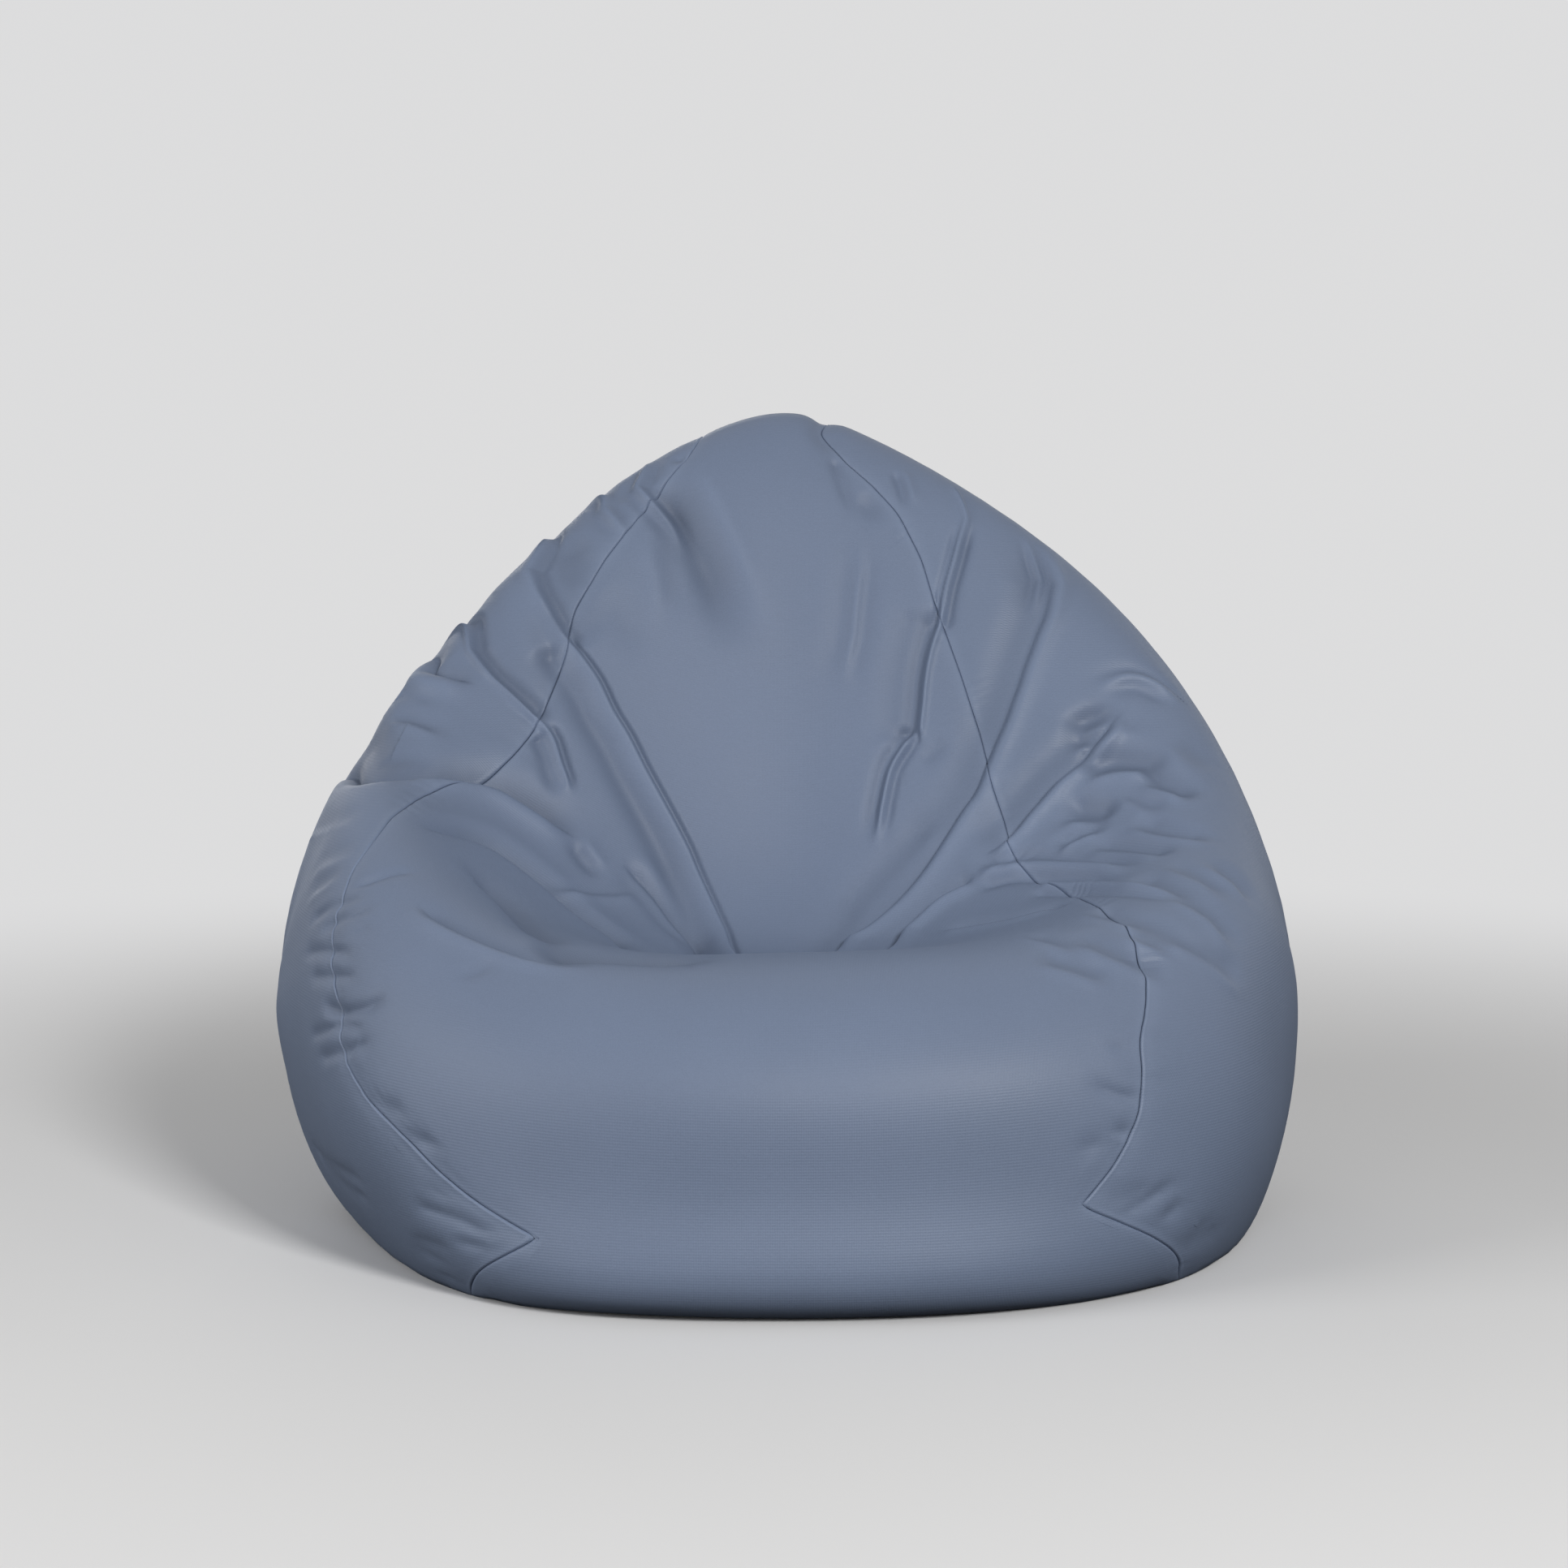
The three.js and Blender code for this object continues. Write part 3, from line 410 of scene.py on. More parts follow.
# Ledges on the left side: the cloth below hangs over in front of the cloth above
fold([(528, 822), (544, 827), (556, 828), (572, 834), (590, 845)], [(5, -19, 15)], crease=(13, 18, 5),
     fade=(60, 30), start=(11.2, 1.3))
ARM_LEDGE = [
    (428, 957), (438, 957), (450, 958), (480, 953), (514, 952), (552, 954), (583, 957), (606, 963),
    (619, 967), (647, 984), (672, 1000), (698, 1019), (721, 1040),
]
fold(ARM_LEDGE, crease=(18, 20, 5), fade=(60, 55), start=(9.8, 0.83))
fold(ARM_LEDGE[:6], [(-10, 42, 30)], fade=(55, 60), start=(9.8, 0.83))
fold(ARM_LEDGE[3:], [(7, -16, 14), (3, 34, 26)], fade=(50, 55))
fold([(492, 850), (520, 857), (552, 870)], [(-4, 0, 10)], fade=(30, 30))
fold([(482, 874), (520, 886), (560, 905)], [(-6, 0, 11), (3, -15, 8)], fade=(30, 35))
fold([(465, 924), (505, 928), (550, 936)], [(-3.5, 0, 10)], fade=(30, 35))
# Left arm and the seat's left side
fold([(703, 1029), (713, 1050), (728, 1068), (744, 1086)], [(-6, 0, 10), (3, 14, 8)], fade=(20, 25))
fold([(501, 1017), (545, 1022), (583, 1029), (614, 1042), (642, 1063), (665, 1080), (685, 1098), (708, 1119),
      (736, 1139), (762, 1156)],
     [(4, 22, 15)], crease=(11, 15, 4.5), fade=(90, 30), end=(5.5, 3.35))
fold([(560, 1060), (593, 1078), (625, 1105), (650, 1130), (676, 1152), (696, 1160)], [(-13, 0, 22)],
     fade=(60, 45))
fold([(509, 1109), (527, 1124), (552, 1139), (583, 1154), (619, 1169), (652, 1180), (690, 1186), (740, 1187)],
     [(5, -12, 10)], crease=(9, 16, 3.5), fade=(45, 70))
fold([(640, 1190), (700, 1188), (760, 1188), (820, 1191), (890, 1195)], [(-17, 46, 30)], fade=(45, 70))
fold([(550, 1203), (583, 1198), (603, 1188), (616, 1181)], [(-3.5, 0, 8)], fade=(25, 25))
fold([(762, 1060), (783, 1074), (803, 1095), (818, 1113), (830, 1131), (844, 1144), (862, 1156)],
     [(3, 18, 11), (-4, -16, 10)], crease=(8.5, 12, 4), fade=(30, 30), end=(5.7, 3.72))
fold([(667, 1080), (690, 1091), (718, 1096), (751, 1098), (785, 1093)], [(-3.5, 0, 8), (2.5, -11, 7)],
     fade=(25, 25))
# Short folds under the top on the left, and the broad hollows beside them
fold([(784, 600), (795, 610), (803, 617), (818, 632), (830, 645), (850, 690)],
     [(5, 0, 5), (-5, 12, 9), (-5, -12, 9)], fade=(45, 60), start=(12, 2.6))
fold([(744, 626), (752, 635), (762, 645), (775, 665)], [(4, 0, 6), (-4, 14, 9), (-4, -14, 9)],
     fade=(45, 35), start=(12, 2.15))
fold([(824, 566), (838, 564), (852, 558)], [(-4, 0, 7)], fade=(12, 15))
fold([(700, 655), (708, 690), (722, 735)], [(-8, 0, 20)], fade=(30, 40))
fold([(670, 735), (678, 787), (700, 830)], [(-4.5, 0, 18)], fade=(30, 35))
fold([(818, 585), (834, 612), (852, 648), (869, 684), (885, 722), (899, 765), (910, 810)],
     [(-15, -3, 21), (4, 36, 13)], fade=(45, 105))
fold([(812, 650), (828, 700), (840, 775)], [(-3.5, 0, 12), (2.5, -20, 10)], fade=(35, 50))
fold([(735, 720), (770, 760), (800, 820)], [(-3, 0, 16)], fade=(40, 50))

# Right of the top and the middle of the backrest
fold([(1012, 534), (1024, 548), (1042, 568)], [(-5, 0, 14)], fade=(15, 40), start=(12.6, 4.55))
fold([(1026, 559), (1032, 580), (1041, 603), (1052, 640)], [(-5, 0, 8)], fade=(15, 35))
fold([(1060, 600), (1070, 621), (1082, 650)], [(-6, 0, 13)], fade=(25, 30))
fold([(1102, 578), (1110, 600), (1118, 628)], [(-4.5, 0, 6), (3, 9, 6)], fade=(15, 22))
fold([(1060, 660), (1061, 690), (1055, 743), (1051, 784), (1041, 824), (1035, 860)],
     [(2.5, 0, 5.5), (-3.2, 11, 8), (-3, -15, 11)], fade=(60, 60))
# The fold that crosses the right seam, and the one that carries it on below
THIRD = [
    (1191, 641), (1184, 661), (1176, 692), (1167, 722), (1163, 743), (1159, 769), (1153, 784), (1147, 804),
    (1143, 824), (1140, 845), (1139, 865), (1136, 886), (1134, 918),
]
fold(THIRD, [(5.5, 0, 3.8)], fade=(45, 18), start=(11.5, 5.5))
fold(THIRD[:7], [(-4.5, -6.5, 4), (-5.5, 8, 5.5)], fade=(35, 25))
fold(THIRD[4:], [(-9, -12, 9), (-5, -32, 16)], fade=(30, 18))
fold([(1130, 893), (1118, 915), (1102, 938), (1096, 952), (1091, 975), (1087, 995), (1083, 1020),
      (1076, 1050)],
     [(5, 0, 4), (-7, -10, 7.5), (-4, 8, 5)], fade=(15, 50))
fold([(1170, 905), (1150, 925), (1128, 945)], [(-4, 0, 9)], fade=(20, 20))
fold([(1153, 987), (1120, 1027), (1090, 1060), (1063, 1090), (1041, 1115), (1015, 1140)],
     [(-4.5, 0, 14), (3, 22, 12)], fade=(40, 40))
# The two long creases right of them, whose right walls stand over their left ones
FOURTH = [
    (1294, 718), (1292, 727), (1286, 755), (1276, 776), (1267, 800), (1259, 820), (1253, 841), (1245, 860),
    (1237, 884), (1224, 913), (1214, 935), (1200, 974), (1184, 993), (1173, 1011), (1161, 1031),
    (1147, 1052), (1133, 1072), (1112, 1097), (1092, 1117), (1071, 1135), (1055, 1147), (1038, 1153),
]
fold(FOURTH, [(4.5, 12, 9), (-5, -22, 16)], crease=(8, 3.5, 15), fade=(60, 40), start=(10.9, 5.9),
     end=(5.9, 4.12))
fold([(1283, 710), (1277, 735), (1268, 760)], [(3, 0, 3.5), (-3, -8, 5)], fade=(50, 40), start=(10.9, 5.82))
fold([(1388, 866), (1361, 898), (1322, 942), (1306, 953), (1296, 962), (1286, 974), (1273, 989), (1261, 1003),
      (1249, 1019), (1226, 1040), (1203, 1058)],
     [(6, 13, 8), (-6, -22, 14)], crease=(9, 3.5, 13), fade=(45, 35))
fold([(1203, 1078), (1196, 1083), (1159, 1099), (1143, 1113), (1122, 1135), (1106, 1148)],
     [(5.5, 12, 9)], crease=(9, 4, 12), fade=(20, 30), end=(5.8, 4.42))
fold([(1196, 1083), (1216, 1076), (1241, 1070), (1265, 1067), (1300, 1068), (1356, 1070), (1399, 1074)],
     [(6, 0, 9), (-5, 17, 9), (-5.5, -16, 8)], fade=(25, 50))
fold([(1276, 1090), (1295, 1091), (1356, 1091), (1413, 1095), (1455, 1103), (1483, 1109)],
     [(4.5, 0, 7), (-4.5, -12, 8)], fade=(20, 50))
fold([(1159, 1144), (1190, 1140), (1231, 1133), (1255, 1129), (1276, 1123), (1296, 1117), (1318, 1115)],
     [(-5, 0, 8), (3, -13, 8)], fade=(30, 30))

# Right shoulder: an arched fold. Under it and on both arms lie many short wrinkles: each has its pixels, a
# depth and a width in millimetres, and is a hollow with a rim below it.
fold([(1345, 854), (1368, 839), (1392, 832), (1415, 838), (1438, 852), (1454, 870)],
     [(4.5, 0, 7), (-3.5, 11, 8), (-3.5, -14, 9)], fade=(40, 30))
ARM_WRINKLES = [
    ([(387, 1017), (412, 1010), (447, 1002)], 1.6, 8), ([(390, 1060), (415, 1050), (447, 1038)], 1.6, 8),
    ([(382, 1096), (402, 1082), (428, 1064)], 1.8, 7),
    ([(1322, 948), (1345, 940), (1375, 933), (1410, 934), (1445, 942)], 10, 12),
    ([(1303, 992), (1330, 992), (1355, 994), (1380, 1002)], 10, 11.5),
    ([(1400, 948), (1432, 958), (1458, 968), (1484, 984)], 8.5, 11),
    ([(1372, 893), (1390, 888), (1412, 890)], 4.6, 8.1),
    ([(1289, 1046), (1317, 1030), (1340, 1021), (1368, 1015)], 5.2, 7.4),
    ([(1340, 1037), (1379, 1039), (1413, 1043), (1452, 1050)], 5.8, 8.8),
    ([(1398, 1006), (1430, 1018), (1469, 1026), (1500, 1030)], 5.8, 10.1),
    ([(1490, 1055), (1528, 1085), (1550, 1118)], 4.6, 10.8), ([(1302, 892), (1345, 880), (1380, 866)], 5.2, 8.1),
    ([(1306, 915), (1330, 905), (1358, 898)], 5.2, 6.8), ([(1380, 965), (1410, 980), (1440, 1000)], 4, 9.5),
    ([(1290, 1012), (1330, 1008), (1370, 1020)], 3.4, 8.1), ([(1450, 900), (1475, 925), (1495, 955)], 3.4, 13.5),
    ([(1328, 1147), (1368, 1167), (1407, 1181), (1446, 1203)], 4.6, 10.8),
    ([(1390, 1141), (1427, 1158), (1455, 1172)], 4.6, 9.5),
    ([(1272, 1175), (1317, 1183), (1356, 1195), (1380, 1205)], 4.6, 10.8),
    ([(1268, 1150), (1310, 1158), (1350, 1172)], 3.4, 9.5),
    ([(1400, 1078), (1455, 1097), (1500, 1127), (1530, 1167)], 4.6, 10.8),
    ([(1347, 1119), (1427, 1139), (1493, 1172), (1533, 1205)], 4.6, 10.8),
    ([(1440, 1060), (1490, 1082), (1522, 1110)], 3.4, 9.5),
]
WRINKLE_DEPTH, WRINKLE_WIDTH = 1.25, 1.25
RIM_HEIGHT, RIM_BELOW, RIM_WIDTH = 0.55, 2, 0.7
for pixels, depth, width in ARM_WRINKLES:
    fold(pixels, [(-WRINKLE_DEPTH * depth, 0, WRINKLE_WIDTH * width),
                  (RIM_HEIGHT * depth, -RIM_BELOW * width, RIM_WIDTH * width)], fade=(26, 28))

# Gathers that cross the seams and run out from the corners of the side panels, given as the wrinkles are
GATHERS = [
    ([(428, 1094), (455, 1085), (487, 1074), (525, 1073)], 4.5, 4.5),
    ([(380, 1136), (405, 1117), (425, 1110), (455, 1103)], 3.5, 4.5),
    ([(392, 1148), (413, 1134), (440, 1123), (472, 1115)], 3.8, 4.5), ([(430, 1146), (470, 1140)], 3, 4.5),
    ([(374, 1174), (406, 1170), (440, 1178)], 3.6, 5), ([(380, 1204), (408, 1202), (446, 1203)], 3.6, 5),
    ([(395, 1236), (420, 1249), (450, 1242), (482, 1224)], 6, 6),
    ([(380, 1277), (415, 1263), (454, 1267)], 3.6, 5),
    ([(390, 1305), (430, 1293), (466, 1279)], 3.8, 5.5), ([(456, 1357), (489, 1367), (512, 1380)], 2.2, 7),
    ([(498, 1398), (521, 1406), (554, 1416)], 3, 6.5), ([(516, 1461), (544, 1472), (569, 1478)], 2, 6),
    ([(505, 1485), (534, 1493), (567, 1504), (590, 1516), (626, 1524)], 3.2, 5.5),
    ([(502, 1525), (534, 1534), (562, 1544)], 3, 6), ([(553, 1527), (585, 1536), (617, 1540)], 2.8, 5),
    ([(505, 1535), (534, 1550), (562, 1565)], 3, 6), ([(534, 1566), (567, 1582), (579, 1586)], 2.6, 5),
    ([(386, 1414), (406, 1435), (429, 1447), (450, 1457)], 2.8, 6),
    ([(396, 1432), (420, 1458), (438, 1470), (458, 1482)], 2.8, 6),
    ([(1313, 1256), (1330, 1266), (1349, 1276)], 3, 8), ([(1320, 1287), (1345, 1292), (1368, 1297)], 2.6, 5.5),
    ([(1357, 1285), (1380, 1291), (1405, 1294)], 3.2, 5), ([(1364, 1251), (1385, 1257), (1407, 1265)], 3, 6),
    ([(1412, 1265), (1434, 1281), (1453, 1291)], 2.2, 6), ([(1374, 1312), (1390, 1316), (1404, 1319)], 2.6, 5),
    ([(1412, 1321), (1432, 1331), (1455, 1340)], 2.2, 6),
    ([(1335, 1328), (1356, 1340), (1385, 1351), (1416, 1358)], 3.4, 5.5),
    ([(1357, 1392), (1385, 1394), (1412, 1395)], 2.8, 5.5), ([(1316, 1417), (1345, 1412), (1377, 1410)], 3, 6.5),
    ([(1352, 1478), (1370, 1466), (1392, 1452)], 3, 5.5), ([(1359, 1484), (1395, 1472), (1426, 1452)], 3.2, 6),
    ([(1374, 1500), (1410, 1482), (1441, 1462), (1458, 1446)], 3.6, 6),
    ([(1422, 1514), (1448, 1491), (1467, 1470)], 3.4, 7), ([(1468, 1522), (1485, 1511), (1501, 1492)], 3, 8),
    ([(1445, 1535), (1480, 1528), (1510, 1510)], 2.5, 8),
]
GATHER_DEPTH, GATHER_WIDTH = 0.8, 1.2
for pixels, depth, width in GATHERS:
    fold(pixels, [(-GATHER_DEPTH * depth, 0, GATHER_WIDTH * width)], fade=(26, 30), calm=6)

folds_on_bag = laid(FOLDS)

# Side seams: the picture gives them where it shows them, and the rest is as the panels are cut. Columns run
# from 0 at the left pole to 8 at the right one.
SEAM_PLACES = 1001
SEEN_ROUNDS, BELOW_ROUNDS, ABOVE_ROUNDS = 8, 6, 12
LEFT_SEAM_PLACES = [
    [0, 2], [0.5, 2.1], [0.85, 2.35], [12.4, 3.12], [13, 3], [14, 2.8], [15, 2.65], [16, 2.55], [17, 2.5],
    [17.5, 2.4], [18, 2.2], [19, 2], [20, 2],
]
RIGHT_SEAM_PLACES = [
    [0, 6], [0.5, 5.95], [0.85, 5.97], [12.4, 4.7], [13, 4.9], [14, 5.15], [15, 5.3], [16, 5.42], [17, 5.5],
    [17.5, 5.6], [18, 5.8], [19, 6], [20, 6],
]
LEFT_SEAM_PIXELS = [
    [(582, 1600), (578, 1586), (585, 1570), (600, 1559), (637, 1539), (662, 1526)],
    [(662, 1526), (630, 1509), (579, 1477), (537, 1442), (494, 1397), (454, 1359), (430, 1318), (418, 1290),
     (417, 1256), (416, 1230), (408, 1206), (407, 1174), (411, 1130), (422, 1104), (432, 1074), (448, 1050),
     (482, 1006), (520, 980), (560, 968), (605, 955), (632, 932), (657, 902), (674, 868), (688, 833),
     (700, 800), (702, 775), (708, 750), (742, 693), (783, 640), (815, 598), (850, 558)],
]
RIGHT_SEAM_PIXELS = [
    [(1452, 1572), (1457, 1556), (1447, 1541), (1421, 1524), (1371, 1502), (1332, 1487)],
    [(1332, 1487), (1371, 1441), (1393, 1402), (1406, 1368), (1409, 1318), (1405, 1280), (1412, 1250),
     (1414, 1223), (1410, 1192), (1398, 1160), (1380, 1130), (1351, 1115), (1306, 1094), (1280, 1086),
     (1258, 1070), (1243, 1044), (1235, 1011), (1224, 974), (1214, 936), (1204, 896), (1184, 833),
     (1166, 783), (1151, 743), (1135, 688), (1106, 631), (1075, 597), (1042, 569), (1012, 530)],
]


def seam_places(cut, runs):
    """A seam's rows and columns: the runs seen in the picture between the places that are cut. The seam is
    eased on both sides of the panel's corner, where the two runs meet, but not over it."""
    seen = [on_bag(eased(evenly(run, PIXEL_STEP), SEEN_ROUNDS)) for run in runs]
    places = np.concatenate([np.array(cut, float)] + seen)
    places = places[np.argsort(places[:, 0])]
    rows = np.linspace(0, NET_ROWS, SEAM_PLACES)
    columns = np.interp(rows, places[:, 0], places[:, 1])
    corner = np.searchsorted(rows, seen[0][-1, 0])
    below, above = eased(columns[:corner + 1], BELOW_ROUNDS), eased(columns[corner:], ABOVE_ROUNDS)
    return rows, np.concatenate([below[:-1], above])


left_rows, left_columns = seam_places(LEFT_SEAM_PLACES, LEFT_SEAM_PIXELS)
right_rows, right_columns = seam_places(RIGHT_SEAM_PLACES, RIGHT_SEAM_PIXELS)


def left_seam(row):
    """The left seam's column at a row."""
    return np.interp(np.mod(row, NET_ROWS), left_rows, left_columns)


def right_seam(row):
    """The right seam's column at a row."""
    return np.interp(np.mod(row, NET_ROWS), right_rows, right_columns)


FRONT_EDGE_ROW, TOP_EDGE_ROW, REAR_EDGE_ROW = 0.85, 12.4, 18
ACROSS_PLACES = 60


def across_line(row):
    """The line along a row from the left seam to the right one."""
    columns = np.linspace(left_seam(row), right_seam(row), ACROSS_PLACES)
    return line_along(np.stack([np.full(ACROSS_PLACES, row), columns], axis=1))


# Each seam is its line, the side on which its lip stands proud (1 left of its way, -1 right of it), the
# height of its gathers in millimetres, their pitch, and the seed of their wandering.
SEAMS = [
    (line_along(np.stack([left_rows, left_columns], axis=1)), 1, 1.0, 19, 3),
    (line_along(np.stack([right_rows, right_columns], axis=1)), -1, 0.8, 20, 11),
    (across_line(FRONT_EDGE_ROW), 1, 0.7, 21, 23),
    (across_line(TOP_EDGE_ROW), 1, 1.1, 20, 31),
    (across_line(REAR_EDGE_ROW), 1, 1.0, 21, 43),
]
SEAM_REACH = 0.07
REAR_GATHER_ROW = 12.5
REAR_GATHER_SIZE = 1.6
WANDER_LENGTHS = (0.43, 0.19, 0.105, 0.067)
WANDER_SHARE = 2.4


def wander(along, seed):
    """A slow seeded waver between about -1 and 1: four sines of unlike lengths, each from its own start."""
    starts = np.random.default_rng(seed).uniform(0, 2 * math.pi, len(WANDER_LENGTHS))
    return sum(np.sin(2 * math.pi * along / length + start)
               for length, start in zip(WANDER_LENGTHS, starts)) / WANDER_SHARE


SLANT, UNEVEN_PITCH = 0.4, 0.9
SWELL_ROUNDING, SWELL_MIDDLE = 0.03, 0.64
SWELL_SIZE, UNEVEN_SIZE, LEAST_SIZE = 0.75, 0.6, 0.1
SWELL_LENGTH, UNEVEN_LENGTH = 24, 9
HELD_SHARE, HELD_WIDTH = 0.5, 6 * MM


def gathers(along, across, height, pitch, seed):
    """Gathers across a seam, in millimetres: rounded swells with narrow valleys between, the root of the
    cosine's square. Their pitch, slant, height and length all waver along the seam, and they fade away from
    it over about 24 millimetres, and by half close to it, where the seam holds the cloth down."""
    slanted = along + across * SLANT * wander(along, seed + 1)
    phase = math.pi * (slanted / (pitch * MM) + UNEVEN_PITCH * wander(slanted, seed))
    swell = np.sqrt(np.cos(phase) ** 2 + SWELL_ROUNDING) - SWELL_MIDDLE
    size = np.maximum(height * (SWELL_SIZE + UNEVEN_SIZE * wander(along, seed + 2)), LEAST_SIZE)
    wavering = np.where(across > 0, wander(along, seed + 3), wander(along, seed + 4))
    length = (SWELL_LENGTH + UNEVEN_LENGTH * wavering) * MM
    return size * swell * bell(across, length) * (1 - HELD_SHARE * bell(across, HELD_WIDTH))


SEAM_DIP, DIP_WIDTH = 1.2, 12 * MM
GROOVE_DEPTH, GROOVE_WIDTH = 1.5, 0.8 * MM
LIP_HEIGHT, LIP_ASIDE, LIP_WIDTH = 0.5, 2.0 * MM, 1.0 * MM


def seam_lift(points, grooved):
    """How far the seams lift or sink the points: a soft dip of 1.2 mm on both sides with gathers across it, and
    at the seam itself a narrow groove 1.5 mm deep with one lip half a millimetre proud."""
    lift = np.zeros(len(points))
    for line, side, height, pitch, seed in SEAMS:
        index, nearest, along, across = measured(line, points, SEAM_REACH)
        rows = line["rows"][nearest]
        size = height * np.where(rows > REAR_GATHER_ROW, REAR_GATHER_SIZE, 1)
        shape = size * gathers(along, across, 1, pitch, seed) - SEAM_DIP * bell(across, DIP_WIDTH)
        if grooved:
            lip = LIP_HEIGHT * bell(across * side - LIP_ASIDE, LIP_WIDTH)
            shape += lip - GROOVE_DEPTH * bell(across, GROOVE_WIDTH)
        lift[index] += shape * MM
    return lift


ZIP_CALM_HEIGHT, ZIP_CALM_WIDTH, ZIP_CALM_FADE = 0.06, 0.3, 0.03
FLOOR_FADE = 0.02


def relief(points, grooved=True):
    """Folds and seams together, faded out at the floor and round the zipper."""
    flat = points.reshape(-1, 3)
    lift = fold_lift(flat) + seam_lift(flat, grooved)
    x, y, z = flat.T
    zip_band = smooth_step((ZIP_CALM_HEIGHT - np.abs(z - ZIP_HEIGHT)) / ZIP_CALM_FADE)
    zip_band *= smooth_step((ZIP_CALM_WIDTH - np.abs(x)) / ZIP_CALM_FADE)
    lift *= smooth_step(z / FLOOR_FADE) * (1 - zip_band * (y > 0))
    return lift.reshape(points.shape[:-1])


EDGE_STEPS = np.array([0.3, 0.4, 0.5, 0.6, 0.8, 1.0, 1.2, 1.4]) * MM
CELL = len(EDGE_STEPS)


def stations(length, step, fine_start, fine_end):
    """Distances along a length in whole cells of eight steps, with one cell of fine steps at a sewn end."""
    head = EDGE_STEPS if fine_start else np.zeros(0)
    tail = EDGE_STEPS[::-1] if fine_end else np.zeros(0)
    middle = length - head.sum() - tail.sum()
    count = CELL * max(round(middle / step / CELL), 1)
    steps = np.concatenate([head, np.full(count, middle / count), tail])
    return np.concatenate([[0], np.cumsum(steps)])


def joined_pairs(cells):
    """Whether any cell of each two by two is set."""
    return cells.reshape(cells.shape[0] // 2, 2, cells.shape[1] // 2, 2).max((1, 3))


def parted(cells):
    """Each cell as the two by two that it splits into."""
    return cells.repeat(2, 0).repeat(2, 1)


def beside(cells, step, axis, wraps):
    """Each cell's neighbour some steps along an axis: nothing lies past an open edge."""
    moved = np.roll(cells, step, axis)
    if not (axis == 0 and wraps):
        edge = [slice(None), slice(None)]
        edge[axis] = slice(0, step) if step > 0 else slice(step, None)
        moved[tuple(edge)] = False
    return moved


def spread(cells, wraps):
    """Set cells with the eight round each."""
    wide = cells | beside(cells, 1, 1, wraps) | beside(cells, -1, 1, wraps)
    return wide | beside(wide, 1, 0, wraps) | beside(wide, -1, 0, wraps)


def bends(height, step, wraps):
    """How much a height bends over a step each way: the most of its second differences."""
    most = np.zeros(height.shape)
    for axis in (0, 1):
        if axis == 0 and wraps:
            ring = height[:-1]
            second = np.abs(np.roll(ring, step, 0) - 2 * ring + np.roll(ring, -step, 0))
            second = np.concatenate([second, second[:1]])
        else:
            padded = np.pad(height, [(step, step) if a == axis else (0, 0) for a in (0, 1)], mode="edge")
            size = height.shape[axis]
            near = [padded.take(range(start, start + size), axis) for start in (0, step, 2 * step)]
            second = np.abs(near[0] - 2 * near[1] + near[2])
        most = np.maximum(most, second)
    return most


def at_corners(values, wanted):
    """Cells of a net, one for each square of values, where any corner is over the wanted one."""
    over = values > wanted
    return over[:-1, :-1] | over[1:, :-1] | over[:-1, 1:] | over[1:, 1:]


# How far a cell may bend before it is split in four, in metres, for cells of about 16, 8 and 4 mm, and the
# cells along each edge that are split anyway where it is sewn
BEND_LIMITS = (0.0028, 0.002, 0.0015)
SEWN_CELLS = {"low": np.s_[:2], "high": np.s_[-2:], "start": np.s_[:, :2], "end": np.s_[:, -2:]}


def cut_cells(height, wraps, seams):
    """Faces of a net of cells, each split in four where the cloth bends more than its limit, down to three
    times, so that neighbours differ by one split at most. A face takes up the midpoints of finer neighbours."""
    fine = at_corners(bends(height, 1, wraps), BEND_LIMITS[2])
    middle = joined_pairs(at_corners(bends(height, 2, wraps), BEND_LIMITS[1]) | spread(fine, wraps))
    for name in seams:
        middle[SEWN_CELLS[name]] = True
    fine &= parted(middle)
    coarse = joined_pairs(joined_pairs(at_corners(bends(height, 4, wraps), BEND_LIMITS[0]))
                          | spread(middle, wraps))
    splits = [coarse, middle & parted(coarse), fine, np.zeros(np.array(fine.shape) * 2, bool)]
    faces = []
    for level, split in enumerate(splits):
        there = parted(splits[level - 1]) if level else np.ones(split.shape, bool)
        i, j = np.nonzero(there & ~split)
        size = CELL >> level
        half = size // 2
        low, high, start, end = i * size, (i + 1) * size, j * size, (j + 1) * size
        finer = [beside(split, 1, 0, wraps), beside(split, -1, 1, wraps), beside(split, -1, 0, wraps),
                 beside(split, 1, 1, wraps)]
        corners = [(low, start), (low, start + half), (low, end), (low + half, end), (high, end),
                   (high, start + half), (high, start), (low + half, start)]
        slots = np.stack([np.stack(corner, 1) for corner in corners], axis=1)
        for k, near in enumerate(finer):
            slots[:, 2 * k + 1][~near[i, j]] = -1
        faces.append(slots)
    return np.concatenate(faces)


